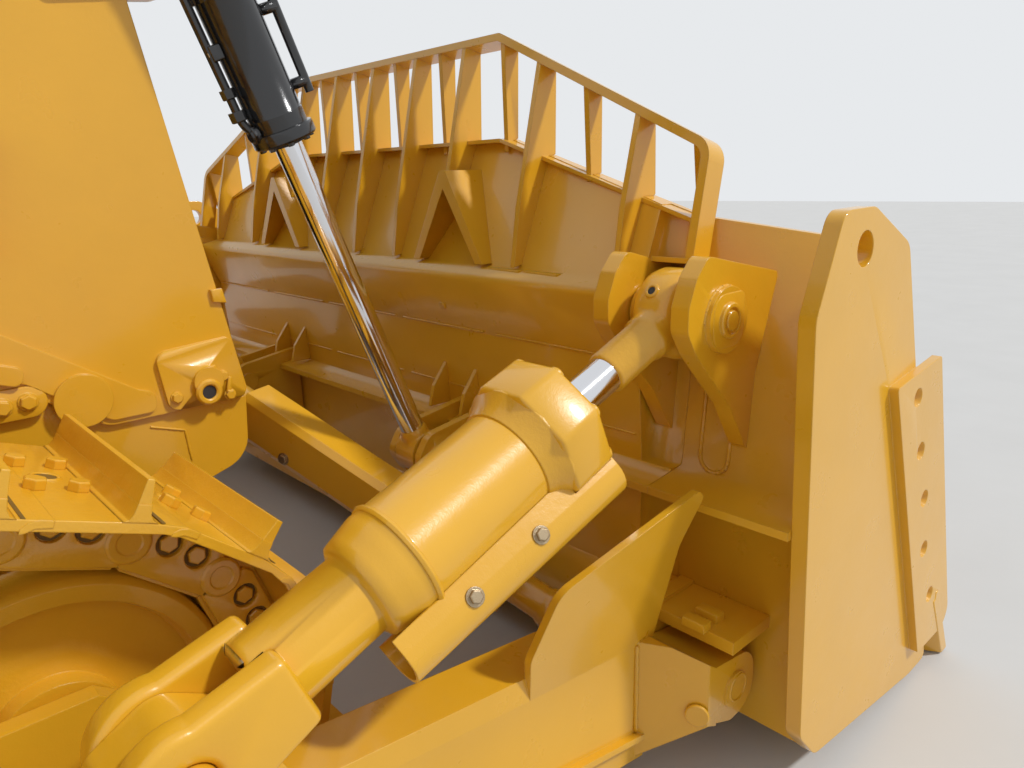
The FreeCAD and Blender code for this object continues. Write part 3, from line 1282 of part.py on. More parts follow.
def spill_guard():
    """Open guard over the moldboard: a bent rail on ribs that alternate long and short."""
    pieces = [guard_rail(), guard_shelf(-GUARD_BEND, GUARD_BEND)]
    for side in (-1, 1):
        pieces.append(guard_shelf(side * GUARD_BEND, side * BLADE_FLAT))
        pieces += [guard_rib(side * y, True) for y in LONG_RIBS if y > 0 or side > 0]
        pieces += [guard_rib(side * y, False) for y in SHORT_RIBS]
    return fused(pieces)


def tent_room(y, grow):
    """Upright prism under a bent plate on the upper ledge."""
    return front_plate([
        (y - 185, 1324 - grow), (y + 185, 1324 - grow), (y + 185, 1324), (y + 14, 1618),
        (y - 14, 1618), (y - 185, 1324)], 1400 - grow, 1620 + grow)


def gussets():
    """Bent V plates on the upper ledge and small fins over the lower one."""
    solids = []
    for side in (-1, 1):
        y = side * TENT_Y
        hollow = front_plate([(y - 150, 1323), (y, 1560), (y + 150, 1323)], 1399, 1621)
        solids.append(tent_room(y, 0).cut(hollow))
        for offset in (-85, 85):
            fin = side_plate([
                (1449, 808), (1360, 808), (1380, 880), (1442, 960)],
                y + offset - 8, y + offset + 8)
            solids.append(fin)
    return solids


def blade_clevis():
    """Right pair of ears for the tilt cylinder's eye, with their bosses and cover plate."""
    x = TILT_EYE_X
    z = TILT_EYE_Z
    curve = [
        # outline of an ear round the pin, from the pin
        (126, -349), (46, -225), (-40, -139), (-106, -72), (-144, -14), (-144, 42), (-117, 106),
        (-73, 154)]
    radii = [20, 60, 120, 80, 40, 40, 40, 30]
    pieces = []
    for side, far in ((-1, 1622.0), (1, 1550.0)):
        a = -TILT_Y + side * TILT_EAR_INSIDE
        b = a + side * TILT_EAR_THICK
        outline = [(1545, z - 374)] + [(x + dx, z + dz) for dx, dz in curve]
        outline += [(far - 14, z + 91), (far, z + 57), (1550, z - 154)]
        pieces.append(side_plate(outline, min(a, b), max(a, b), [0] + radii + [0, 0, 0]))
        c = b + side * 14
        pieces.append(pin_y(x, z, min(a, c), max(a, c), 80))
        d = b + side * 20
        pieces.append(pin_y(x, z, min(a, d), max(a, d), 36))
    near = -TILT_Y + TILT_EAR_INSIDE
    outer = -TILT_Y - TILT_EAR_INSIDE
    cover = side_plate([
        (x + 26, z + 134), (x + 26, z + 120), (x + 250, z + 74), (x + 250, z + 88)],
        outer - 2, near + 2)
    room = plan_plate([
        (x, outer - 2), (x, near + 2), (1550, near + 2), (1550, -BLADE_FLAT), (1618, outer - 2)],
        z, z + 200)
    pieces.append(cover.common(room))
    return pieces


def arm_bracket():
    """Right lower bracket of the blade between the cheeks of the push arm's head."""
    x = HEAD_X
    z = HEAD_Z
    ear = side_plate([
        (1520, z - 110), (x - 70, z - 96), (x - 96, z), (x - 80, z + 96), (x - 60, z + 186),
        (1520, z + 186)], -ARM_Y - 19, -ARM_Y + 25, [0, 90, 80, 40, 10, 0])
    far = -ARM_Y - ARM_HALF - HEAD_FLARE - 26
    shelf = box(x - 60, RECESS_X + 20, far, -ARM_Y + 120, z + 140, z + 176)
    hole = pin_y(x, z, -ARM_Y - 30, -ARM_Y + 40, HEAD_PIN + GAP)
    return [ear.cut(hole), shelf]


def lift_lug():
    """Pair of ears on the blade's back for the lift cylinder's eye."""
    x = LIFT_EYE_X
    z = LIFT_EYE_Z
    pieces = []
    for side in (-1, 1):
        a = -LIFT_Y + side * EAR_INSIDE
        b = -LIFT_Y + side * (EAR_INSIDE + 30)
        pieces.append(side_plate([
            (1440, z - 190), (x - 30, z - 78), (x - 80, z), (x - 30, z + 78), (1440, z + 120)],
            min(a, b), max(a, b), [0, 60, 50, 60, 0]))
        c = -LIFT_Y + side * (EAR_INSIDE + 40)
        pieces.append(pin_y(x, z, min(a, c), max(a, c), 40))
    return pieces


def stabilizer_link():
    """Boxed stabilizer link from the nose's socket to the blade's right lower corner."""
    start = V(LINK_X, LINK_Y, LINK_Z)
    end = V(LINK_END_X, LINK_END_Y, LINK_END_Z)
    way = unit(end - start)
    across = unit(way.cross(V(0, 0, 1)))
    upward = unit(across.cross(way))
    reach = (end - start).Length
    points = [
        # share across, share upward
        (-66, -60), (-50, -84), (50, -84), (66, -60), (66, 56), (50, 78), (-50, 78), (-66, 56)]
    first = start + way * 165
    outline = [first + across * a + upward * b for a, b in points]
    beam = face_of(outline).extrude(way * (reach - 300))
    collar = rod(start + way * 40, start + way * 175, 52)
    tail = rod(start + way * (reach - 160), start + way * (reach - 30), 52)
    return fused([beam, collar, tail, Part.makeSphere(LINK_BALL, start),
                  Part.makeSphere(LINK_END_BALL, end)])


def ear_pair(outline, y, inside, thick, radii=0):
    """Two upright plates either side of a plane y."""
    plates = []
    for side in (-1, 1):
        near = y + side * inside
        far = y + side * (inside + thick)
        plates.append(side_plate(outline, min(near, far), max(near, far), radii))
    return plates


def ripper_mount():
    """Hinge castings on the hull's rear face for the ripper's links and cylinders."""
    high = CASE_TOP - 70
    face = HULL_REAR - SEAT
    pieces = [box(face - RIP_PLATE, face, -HULL_HALF + 10, HULL_HALF - 10, RIP_LOW_Z - 140, high)]
    for side in (-1, 1):
        pieces += ear_pair([
            (face - 50, RIP_LOW_Z - 130), (RIP_LOW_X - 20, RIP_LOW_Z - 80), (RIP_LOW_X - 85, RIP_LOW_Z),
            (RIP_LOW_X - 60, RIP_LOW_Z + 200), (RIP_LOW_X - 85, RIP_LOW_Z + RIP_UP_RISE),
            (RIP_LOW_X, RIP_LOW_Z + RIP_UP_RISE + 90), (face - 50, high)],
            side * 370, 52, 36, [0, 60, 60, 200, 60, 60, 0])
        for z in (RIP_LOW_Z, RIP_LOW_Z + RIP_UP_RISE):
            a = min(side * 280, side * 460)
            pieces.append(pin_y(RIP_LOW_X, z, a, a + 180, 36))
        pieces += ear_pair([
            (face - 50, RIP_CYL_Z - 130), (RIP_CYL_X - 20, RIP_CYL_Z - 62),
            (RIP_CYL_X - 60, RIP_CYL_Z), (RIP_CYL_X - 20, RIP_CYL_Z + 62), (face - 50, high)],
            side * RIP_CYL_Y, 44, 20, [0, 30, 40, 30, 0])
        pieces.append(pin_y(RIP_CYL_X, RIP_CYL_Z, side * RIP_CYL_Y - 66, side * RIP_CYL_Y + 66, 34))
    return fused(pieces)


def ripper_points():
    """Rear pins of the lower and upper links at rest."""
    x = RIP_LOW_X - math.sqrt(RIP_LINK ** 2 - RIP_DROP ** 2)
    return x, RIP_LOW_Z + RIP_DROP, RIP_LOW_Z + RIP_UP_RISE + RIP_DROP


def link_arm(y0, y1, x0, z0, x1, z1, radius, hole):
    """Straight link between two pins along Y."""
    start = V(x0, y0, z0)
    end = V(x1, y0, z1)
    way = unit(end - start)
    across = V(-way.z, 0, way.x)
    points = [
        start + across * radius * 0.8, end + across * radius * 0.8,
        end - across * radius * 0.8, start - across * radius * 0.8]
    pieces = [face_of(points).extrude(V(0, y1 - y0, 0))]
    for x, z in ((x0, z0), (x1, z1)):
        pieces.append(pin_y(x, z, y0, y1, radius))
    whole = fused(pieces)
    for x, z in ((x0, z0), (x1, z1)):
        whole = whole.cut(pin_y(x, z, y0 - 1, y1 + 1, hole))
    return whole


def ripper_lower_link():
    """Lower link: two arms joined by a cross tube."""
    x, z_low, z_up = ripper_points()
    arms = []
    for side in (-1, 1):
        y0 = side * 370 - 45
        arms.append(link_arm(
            y0, y0 + 90, RIP_LOW_X, RIP_LOW_Z, x, z_low, RIP_LINK_EYE, 36 + GAP))
    middle_x = (RIP_LOW_X + x) / 2
    middle_z = (RIP_LOW_Z + z_low) / 2
    cross = pin_y(middle_x, middle_z, -370, 370, 62)
    z = middle_z + RIP_EYE_RISE
    horns = []
    for side in (-1, 1):
        horns += ear_pair([
            (middle_x - 58, middle_z), (middle_x + 58, middle_z), (middle_x + 66, z),
            (middle_x, z + 72), (middle_x - 66, z)], side * RIP_CYL_Y, RIP_EYE_HALF + 8, 20,
            [0, 0, 40, 40, 40])
    return fused(arms + [cross] + horns)


def ripper_upper_links():
    """Upper links of the parallelogram, one each side."""
    x, z_low, z_up = ripper_points()
    solids = []
    for side in (-1, 1):
        y0 = side * 370 - 35
        solids.append(link_arm(y0, y0 + 70, RIP_LOW_X, RIP_LOW_Z + RIP_UP_RISE, x, z_up,
                               62, 36 + GAP))
    return Part.makeCompound(solids)


def ripper_beam():
    """Tool beam with its ears for the links and the pocket that holds the shank."""
    x, z_low, z_up = ripper_points()
    pieces = [box(x - 330, x - 100, -620, 620, z_low - 130, z_low + 190)]
    for side in (-1, 1):
        pieces += ear_pair([
            (x - 180, z_low - 110), (x + 20, z_low - 75), (x + 80, z_low), (x + 70, z_low + 120),
            (x + 60, z_up - 90), (x + 75, z_up), (x, z_up + 80), (x - 180, z_low + 180)],
            side * 370, 52, 36, [0, 50, 50, 100, 100, 50, 50, 0])
        for z in (z_low, z_up):
            a = min(side * 280, side * 460)
            pieces.append(pin_y(x, z, a, a + 180, 36))
    whole = fused(pieces)
    sleeve = box(x - 420, x - 130, -SHANK_THICK / 2 - 110, SHANK_THICK / 2 + 110,
                 z_low - 190, z_low + 250)
    slot = box(x - 390, x - 150, -SHANK_THICK / 2 - SEAT, SHANK_THICK / 2 + SEAT,
               z_low - 200, z_low + 260)
    return fused([whole, sleeve]).cut(slot)


def shank():
    """Ripper shank with its curved lower end, pin and tip."""
    x, z_low, z_up = ripper_points()
    half = SHANK_THICK / 2
    blade = side_plate([
        (x - 152, z_low + 640), (x - 388, z_low + 640), (x - 388, z_low - 250),
        (x - 330, SHANK_TIP + 160), (x - 60, SHANK_TIP + 30), (x + 60, SHANK_TIP),
        (x - 20, SHANK_TIP + 140), (x - 130, SHANK_TIP + 300), (x - 152, z_low - 200)],
        -half, half, [20, 20, 300, 160, 20, 10, 80, 200, 60])
    tip = side_plate([
        (x - 120, SHANK_TIP + 20), (x + 150, SHANK_TIP - 40), (x + 60, SHANK_TIP + 70),
        (x - 40, SHANK_TIP + 150)], -half - 12, half + 12, [20, 8, 30, 20])
    return fused([blade, tip])


def ripper_cylinder_line():
    """Upper pin, direction down the rod and length of a ripper cylinder at rest."""
    x, z_low, z_up = ripper_points()
    top = V(RIP_CYL_X, -RIP_CYL_Y, RIP_CYL_Z)
    low = V((RIP_LOW_X + x) / 2, -RIP_CYL_Y, (RIP_LOW_Z + z_low) / 2 + RIP_EYE_RISE)
    return top, unit(low - top), (low - top).Length


def ripper_barrel():
    """Right ripper cylinder barrel with its upper eye."""
    top, way, reach = ripper_cylinder_line()
    body = turned(top, way, [(46, 38), (78, 38), (98, 64), (462, 64), (464, 72), (520, 72)])
    eye = pin_y(RIP_CYL_X, RIP_CYL_Z, -RIP_CYL_Y - 40, -RIP_CYL_Y + 40, 60)
    hole = pin_y(RIP_CYL_X, RIP_CYL_Z, -RIP_CYL_Y - 50, -RIP_CYL_Y + 50, 34 + GAP)
    bore = rod(top + way * 70, top + way * 530, 32 + GAP)
    return fused([body, eye]).cut(hole).cut(bore)


def ripper_rod():
    """Right ripper cylinder rod with the eye between the lower link's horns."""
    top, way, reach = ripper_cylinder_line()
    shaft = rod(top + way * 190, top + way * (reach - 40), 32)
    low = top + way * reach
    eye = pin_y(low.x, low.z, -RIP_CYL_Y - RIP_EYE_HALF, -RIP_CYL_Y + RIP_EYE_HALF, RIP_EYE)
    hole = pin_y(low.x, low.z, -RIP_CYL_Y - 50, -RIP_CYL_Y + 50, 30)
    return fused([shaft, eye]).cut(hole)


def build():
    """All nodes by name, still measured from the front idler."""
    nodes = {}
    nodes["main_frame"] = hull()
    nodes["equalizer_bar"] = equalizer_bar()
    nodes["pivot_shaft"] = pivot_shaft()
    nodes["engine_block"] = engine_block()
    nodes["radiator_guard"] = nose()
    nodes["radiator_grille"] = grille()
    nodes["bottom_guard"] = lower_guard()
    nodes["hood_top"] = hood_top()
    nodes["hood_sides"] = hood_sides()
    nodes["stacks"] = stacks()
    nodes["fenders"] = platform()
    nodes["cab_shell"] = cab()
    nodes["cab_glass"] = cab_glass()
    nodes["cab_inside"] = cab_inside()
    nodes["rops_canopy"] = rops()
    nodes["cab_roof_unit"] = cab_roof_unit()
    nodes["fuel_tank"] = fuel_tank()
    nodes["fender_boxes"] = fender_boxes()
    nodes["work_lamps"] = lamps()
    nodes["grab_rails"] = rails()
    nodes["lift_yokes"] = lift_yokes()
    nodes["cab_door_right"] = cab_door()
    nodes["cab_door_left"] = mirrored(nodes["cab_door_right"])
    right_track = track()
    right_frame = track_frame()
    right_rollers = rollers()
    right_drive = final_drive()
    right_sprocket = sprocket()
    idlers = Part.makeCompound([idler(0.0), idler(-IDLER_BASE)])
    for side, turn in (("right", lambda s: s), ("left", mirrored)):
        nodes["track_" + side] = turn(right_track)
        nodes["track_frame_" + side] = turn(right_frame)
        nodes["track_rollers_" + side] = turn(right_rollers)
        nodes["idlers_" + side] = turn(idlers)
        nodes["final_drive_" + side] = turn(right_drive)
        nodes["sprocket_" + side] = turn(right_sprocket)
    nodes["lift_barrels"] = both_sides(lift_barrel())
    nodes["lift_rods"] = both_sides(lift_rod())
    arm = push_arm()
    nodes["push_arm_right"] = arm
    nodes["push_arm_left"] = mirrored(arm)
    nodes["tilt_barrels"] = both_sides(tilt_barrel())
    nodes["tilt_rods"] = both_sides(tilt_rod())
    nodes["tilt_line_guards"] = both_sides(line_guard())
    middle = blade_middle()
    wing = blade_wing()
    nodes["blade_middle"] = middle
    nodes["blade_wings"] = both_sides(wing)
    nodes["blade_end_plates"] = both_sides(end_plate().cut(edge_wing()))
    nodes["blade_edges"] = Part.makeCompound(blade_edges())
    nodes["blade_gussets"] = Part.makeCompound([g.cut(middle) for g in gussets()])
    ears = [piece.cut(wing).cut(middle) for piece in blade_clevis()]
    nodes["tilt_clevises"] = both_sides(fused(ears))
    guard = spill_guard().cut(middle)
    for blocker in (wing, fused(ears), tent_room(-TENT_Y, 10)):
        guard = guard.cut(blocker).cut(mirrored(blocker))
    nodes["spill_guard"] = guard
    nodes["arm_brackets"] = both_sides(fused([p.cut(wing).cut(middle) for p in arm_bracket()]))
    nodes["lift_lugs"] = both_sides(fused([p.cut(middle) for p in lift_lug()]))
    nodes["stabilizer_link"] = stabilizer_link()
    nodes["ripper_mount"] = ripper_mount()
    nodes["ripper_lower_link"] = ripper_lower_link()
    nodes["ripper_upper_links"] = ripper_upper_links()
    nodes["ripper_beam"] = ripper_beam()
    nodes["ripper_shank"] = shank()
    nodes["ripper_barrels"] = both_sides(ripper_barrel())
    nodes["ripper_rods"] = both_sides(ripper_rod())
    return nodes


def middle_shift(nodes):
    """Move along X that puts the origin under the middle of the machine's length."""
    whole = FreeCAD.BoundBox()
    for shape in nodes.values():
        whole.add(shape.BoundBox)
    return -(whole.XMin + whole.XMax) / 2


def main():
    os.makedirs("parts", exist_ok=True)
    nodes = build()
    shift = middle_shift(nodes)
    print("moved along X by", round(shift, 3))
    for name, shape in nodes.items():
        moved = shape.copy()
        moved.translate(V(shift, 0, 0))
        moved.exportStep("parts/" + name + ".step")


main()
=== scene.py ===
"""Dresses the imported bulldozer: paint, wear, bolts, weld beads, tubes and small fittings."""

import abc
import enum
import json
import logging
import math
from dataclasses import dataclass, field
from typing import Optional, Sequence, Union

import bmesh
import bpy
from mathutils import Matrix, Vector


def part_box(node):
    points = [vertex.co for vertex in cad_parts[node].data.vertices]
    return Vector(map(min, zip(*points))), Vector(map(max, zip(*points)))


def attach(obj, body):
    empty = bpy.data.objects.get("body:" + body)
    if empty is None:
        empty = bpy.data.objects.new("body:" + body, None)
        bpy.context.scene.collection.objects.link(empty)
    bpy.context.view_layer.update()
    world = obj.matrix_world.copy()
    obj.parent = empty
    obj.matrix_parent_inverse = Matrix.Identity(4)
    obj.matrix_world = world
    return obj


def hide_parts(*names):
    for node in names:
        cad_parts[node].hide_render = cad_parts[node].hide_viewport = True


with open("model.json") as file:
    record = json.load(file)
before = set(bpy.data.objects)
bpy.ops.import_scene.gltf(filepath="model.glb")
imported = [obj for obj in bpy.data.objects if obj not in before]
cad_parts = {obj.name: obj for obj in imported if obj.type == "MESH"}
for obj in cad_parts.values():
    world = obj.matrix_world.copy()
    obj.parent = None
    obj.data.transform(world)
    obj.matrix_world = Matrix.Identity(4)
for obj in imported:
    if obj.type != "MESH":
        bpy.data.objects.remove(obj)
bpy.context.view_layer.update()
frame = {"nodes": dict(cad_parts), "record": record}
LOG = logging.getLogger("bulldozer")
Number = Union[int, float]
Point = tuple[float, float, float]
Outline = Sequence[tuple[Number, Number]]
Form = bmesh.types.BMesh
IDLER_REACH = 0.3466                  # outer radius of the front idler's flange
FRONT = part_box("idlers_right")[1].x - IDLER_REACH   # x of the front idler's centre
RIGHT = Vector((0.0, -1.0, 0.0))      # out of the right-hand side
LEFT = Vector((0.0, 1.0, 0.0))
UP = Vector((0.0, 0.0, 1.0))
AHEAD = Vector((1.0, 0.0, 0.0))
SHARP = 32.0                          # degrees from which an edge stays sharp


def at(x: Number, y: Number, z: Number) -> Vector:
    """Gives a place in metres from millimetres measured from the front idler's centre.

    Args:
        x: Millimetres forward of the front idler's centre.
        y: Millimetres to the left of the middle plane.
        z: Millimetres above the ground.

    Returns:
        The place in the model's frame.
    """
    return Vector((x / 1000 + FRONT, y / 1000, z / 1000))


def way(x: Number, z: Number) -> Vector:
    """Gives the unit direction of a slope in the side view."""
    return Vector((x, 0.0, z)).normalized()


class Surface(enum.Enum):
    """How a painted surface was made."""

    PLATE = "rolled plate"
    CAST = "rough casting"
    SHEET = "pressed sheet"


class Value:
    """A shader socket that can be added, multiplied and taken from a number."""

    def __init__(self, graph: "Graph", socket: bpy.types.NodeSocket) -> None:
        """Wraps a socket.

        Args:
            graph: The graph that the socket belongs to.
            socket: The socket whose value is used.
        """
        self.graph = graph
        self.socket = socket

    def _maths(self, operation: str, *others: Union["Value", Number]) -> "Value":
        """Adds one Math node on this value and others.

        Args:
            operation: The Math node's operation.
            *others: Further values or numbers.

        Returns:
            The node's result.
        """
        node = self.graph.node("ShaderNodeMath", {"operation": operation},
                               {i: item for i, item in enumerate((self, *others))})
        return Value(self.graph, node.outputs[0])

    def __add__(self, other: Union["Value", Number]) -> "Value":
        """Adds."""
        return self._maths("ADD", other)

    def __mul__(self, other: Union["Value", Number]) -> "Value":
        """Multiplies."""
        return self._maths("MULTIPLY", other)

    def __rsub__(self, other: Number) -> "Value":
        """Takes this value from a number."""
        return self * -1.0 + other


class Graph:
    """A material's node tree with one method that adds any node."""

    def __init__(self, name: str) -> None:
        """Starts an empty material.

        Args:
            name: The material's name.
        """
        self.material = bpy.data.materials.new(name)
        self.material.use_nodes = True
        self.tree = self.material.node_tree
        self.tree.nodes.clear()

    def node(self, kind: str, settings: Optional[dict] = None,
             values: Optional[dict] = None) -> bpy.types.Node:
        """Adds a node, applies its settings and then fills its sockets.

        Args:
            kind: The node's type.
            settings: Properties of the node, a ramp's stops among them.
            values: Values, wrapped sockets or sockets by input name or number.

        Returns:
            The node.
        """
        made = self.tree.nodes.new(kind)
        for key, value in (settings or {}).items():
            if key == "stops":
                ramp = made.color_ramp.elements
                while len(ramp) < len(value):
                    ramp.new(0.5)
                for element, (position, shade) in zip(ramp, value):
                    element.position = position
                    element.color = shade
            else:
                setattr(made, key, value)
        for key, value in (values or {}).items():
            if isinstance(value, Value):
                self.tree.links.new(value.socket, made.inputs[key])
            elif isinstance(value, bpy.types.NodeSocket):
                self.tree.links.new(value, made.inputs[key])
            else:
                made.inputs[key].default_value = value
        return made

    def noise(self, scale: float, detail: float, rough: float) -> Value:
        """Gives a noise pattern on the object's own coordinates.

        Args:
            scale: Pattern repeats in a metre.
            detail: Octaves.
            rough: How strong the finer octaves are.

        Returns:
            A value near 0.5, from 0 to 1.
        """
        where = self.node("ShaderNodeTexCoord").outputs["Object"]
        made = self.node("ShaderNodeTexNoise", None, {
            "Vector": where, "Scale": scale, "Detail": detail, "Roughness": rough})
        return Value(self, made.outputs["Fac"])

    def ramp(self, value: Value, low: float, high: float) -> Value:
        """Stretches a value so that it runs from 0 at low to 1 at high.

        Args:
            value: The value.
            low: Where the result is 0.
            high: Where the result is 1.

        Returns:
            The stretched value, held between 0 and 1.
        """
        made = self.node("ShaderNodeMapRange", {"clamp": True, "interpolation_type": "SMOOTHSTEP"},
                         {0: value, 1: low, 2: high, 3: 0.0, 4: 1.0})
        return Value(self, made.outputs[0])

    def blend(self, factor: Value, first: Union[Sequence[float], bpy.types.NodeSocket],
              second: Union[Sequence[float], bpy.types.NodeSocket]) -> bpy.types.NodeSocket:
        """Mixes two colours.

        Args:
            factor: 0 for the first colour, 1 for the second.
            first: A colour or a colour socket.
            second: A colour or a colour socket.

        Returns:
            The mixed colour's socket.
        """
        made = self.node("ShaderNodeMix", {"data_type": "RGBA"}, {0: factor, 6: first, 7: second})
        return made.outputs[2]

    def relief(self, height: Value, edges: float = 0.0) -> bpy.types.NodeSocket:
        """Gives the normal of a surface with a bump and, if asked for, rounded edges.

        Args:
            height: The bump's height in metres.
            edges: The radius of the edges in metres, or 0 for none.

        Returns:
            The normal's socket.
        """
        values = {"Strength": 1.0, "Distance": 1.0, "Height": height}
        if edges:
            rounded = self.node("ShaderNodeBevel", {"samples": 4}, {"Radius": edges})
            values["Normal"] = rounded.outputs[0]
        return self.node("ShaderNodeBump", None, values).outputs[0]

    def finish(self, **values: object) -> bpy.types.Material:
        """Connects a principled shader to the material's output.

        Args:
            **values: The shader's inputs, with a low line for each space in their names.

        Returns:
            The material.
        """
        shader = self.node("ShaderNodeBsdfPrincipled", None,
                           {key.replace("_", " "): value for key, value in values.items()})
        self.node("ShaderNodeOutputMaterial", None, {"Surface": shader.outputs[0]})
        return self.material


@dataclass(frozen=True)
class Enamel:
    """Thick enamel over steel, with its orange peel, dust and slight unevenness."""

    name: str
    colour: Sequence[float]
    surface: Surface = Surface.PLATE
    gloss: float = 0.30
    dust: float = 0.03
    edge_radius: float = 0.004
    peel_height: float = 0.00014
    grain_height: float = 0.0011
    wave_height: float = 0.0016
    faded: float = 0.88
    dust_colour: Sequence[float] = (0.46, 0.40, 0.30, 1.0)
    coat: float = 0.55
    coat_roughness: float = 0.09

    def build(self) -> bpy.types.Material:
        """Makes the enamel's material."""
        g = Graph(self.name)
        share = {Surface.PLATE: 0.35, Surface.CAST: 1.0, Surface.SHEET: 0.2}[self.surface]
        peel = g.noise(330.0, 2.0, 0.4)
        grain = g.noise(70.0 if self.surface is Surface.CAST else 60.0, 4.0, 0.6)
        wave = g.noise(5.0, 2.0, 0.5)
        height = (peel * self.peel_height + grain * (self.grain_height * share)
                  + wave * self.wave_height)
        normal = g.relief(height, self.edge_radius)
        mottle = g.ramp(g.noise(2.3, 5.0, 0.6), 0.3, 0.7)
        worn = tuple(c * self.faded for c in self.colour[:3]) + (1.0,)
        tinted = g.blend(mottle * 0.5, self.colour, worn)
        up = g.node("ShaderNodeSeparateXYZ", None, {
            0: g.node("ShaderNodeNewGeometry").outputs["Normal"]}).outputs[2]
        lying = g.ramp(Value(g, up), 0.5, 1.0)
        specks = g.ramp(g.noise(26.0, 6.0, 0.7), 0.50, 0.72)
        dusty = lying * specks * self.dust
        rough = g.noise(11.0, 3.0, 0.6) * 0.16 + (self.gloss - 0.08) + dusty * 0.5
        return g.finish(Base_Color=g.blend(dusty, tinted, self.dust_colour), Roughness=rough,
                        Normal=normal, Coat_Weight=self.coat, Coat_Roughness=self.coat_roughness,
                        IOR=1.5)


@dataclass(frozen=True)
class BareSteel:
    """Bare or plated steel, from worn plate to a cylinder's hard chrome."""

    name: str
    colour: Sequence[float]
    roughness: float
    grain: float
    rust: float = 0.0
    rust_colour: Sequence[float] = (0.16, 0.065, 0.025, 1.0)
    edge_radius: float = 0.002

    def build(self) -> bpy.types.Material:
        """Makes the steel's material."""
        g = Graph(self.name)
        normal = g.relief(g.noise(420.0, 2.0, 0.5) * self.grain, self.edge_radius)
        rusty = g.ramp(g.noise(14.0, 5.0, 0.65), 0.48, 0.66) * self.rust
        rough = g.noise(30.0, 3.0, 0.6) * 0.1 + (self.roughness - 0.05) + rusty * 0.4
        return g.finish(Base_Color=g.blend(rusty, self.colour, self.rust_colour),
                        Roughness=rough, Metallic=1.0 - rusty * 0.9, Normal=normal)


@dataclass(frozen=True)
class Glazing:
    """Tinted safety glass."""

    name: str = "tinted_glass"
    colour: Sequence[float] = (0.05, 0.07, 0.07, 1.0)
    cover: float = 0.55

    def build(self) -> bpy.types.Material:
        """Makes the glass material."""
        g = Graph(self.name)
        haze = g.noise(6.0, 3.0, 0.6) * 0.03 + 0.02
        return g.finish(Base_Color=self.colour, Roughness=haze, Alpha=self.cover, IOR=1.5)


@dataclass(frozen=True)
class Rubber:
    """Black hose rubber, moulded trim or another dull, slightly uneven material, also used as dark
    fills that paint shade into holes.
    """

    name: str
    colour: Sequence[float] = (0.018, 0.018, 0.019, 1.0)
    roughness: float = 0.55
    grain: float = 0.0002
    paler: float = 2.2

    def build(self) -> bpy.types.Material:
        """Makes the rubber's material."""
        g = Graph(self.name)
        normal = g.relief(g.noise(700.0, 2.0, 0.5) * self.grain)
        pale = tuple(c * self.paler for c in self.colour[:3]) + (1.0,)
        rough = g.noise(40.0, 3.0, 0.5) * 0.12 + (self.roughness - 0.06)
        return g.finish(Base_Color=g.blend(g.noise(18.0, 4.0, 0.6), self.colour, pale),
                        Roughness=rough, Normal=normal)


class Finish(enum.Enum):
    """The finishes in use, each with the record's slot that it belongs to.

    Finishes of one slot differ by spaces at the end, which are cut off when the slot is named.
    """

    PLATE = "yellow_paint"
    CAST = "yellow_paint "
    SHEET = "yellow_paint  "
    BLACK = "black_paint"
    CHROME = "chrome_rod"
    WORN = "worn_steel"
    ZINC = "worn_steel "
    GLASS = "glass"
    SEAT = "seat_cloth"
    LENS = "lamp_lens"
    ENGINE = "engine_grey"
    # Black rubber for wipers and gaskets, also painted shade inside the nose boss hole and the tilt
    # eyes' grease holes
    HOSE = "black_paint "
    # Yellow paint darkened into painted shade, laid as flat fills in the track's recesses and crevices
    HOLLOW = "black_paint  "


class PaintShop:
    """Builds every finish once and lays it on pieces."""

    def __init__(self) -> None:
        """Builds the materials."""
        yellow = (0.74, 0.385, 0.016, 1.0)
        black = (0.012, 0.012, 0.013, 1.0)
        self.materials = {
            Finish.PLATE: Enamel("enamel_on_plate", yellow).build(),
            Finish.CAST: Enamel("enamel_on_casting", yellow, Surface.CAST, 0.34).build(),
            Finish.SHEET: Enamel("enamel_on_sheet", yellow, Surface.SHEET, 0.26).build(),
            Finish.BLACK: Enamel("black_enamel", black, Surface.SHEET, 0.16, 0.03, 0.003).build(),
            Finish.CHROME: BareSteel("hard_chrome", (0.80, 0.80, 0.82, 1.0), 0.09, 0.00003).build(),
            Finish.WORN: BareSteel("worn_steel", (0.42, 0.38, 0.34, 1.0), 0.42, 0.0006, 0.5).build(),
            Finish.ZINC: BareSteel("plated_bolt", (0.42, 0.32, 0.20, 1.0), 0.34, 0.0003, 0.3).build(),
            Finish.GLASS: Glazing().build(),
            Finish.SEAT: Rubber("seat_cloth", (0.03, 0.03, 0.034, 1.0), 0.85).build(),
            Finish.LENS: Rubber("lamp_lens", (0.55, 0.55, 0.52, 1.0), 0.2).build(),
            Finish.ENGINE: Rubber("engine_grey", (0.05, 0.05, 0.05, 1.0), 0.7).build(),
            # Real hose rubber, also laid as painted shade in small holes
            Finish.HOSE: Rubber("hose_rubber").build(),
            # Darkened yellow: painted shade for the mud holes, link windows and gaps between shoes
            Finish.HOLLOW: Rubber("shaded_hollow", (0.11, 0.062, 0.008, 1.0), 0.6).build(),
        }

    def lay(self, piece: bpy.types.Object, finish: Finish) -> bpy.types.Object:
        """Gives a piece one finish.

        Args:
            piece: The piece.
            finish: Its finish.

        Returns:
            The piece.
        """
        piece.data.materials.clear()
        piece.data.materials.append(self.materials[finish])
        return piece


def stand(foot: Vector, axis: Vector, clock: float = 0.0) -> Matrix:
    """Gives the matrix that stands a shape built along +Z on a point.

    Args:
        foot: Where the shape's origin goes.
        axis: The direction that its +Z takes.
        clock: Its turn about that axis, in radians.

    Returns:
        The matrix.
    """
    turn = axis.to_track_quat("Z", "Y").to_matrix().to_4x4()
    return Matrix.Translation(foot) @ turn @ Matrix.Rotation(clock, 4, "Z")


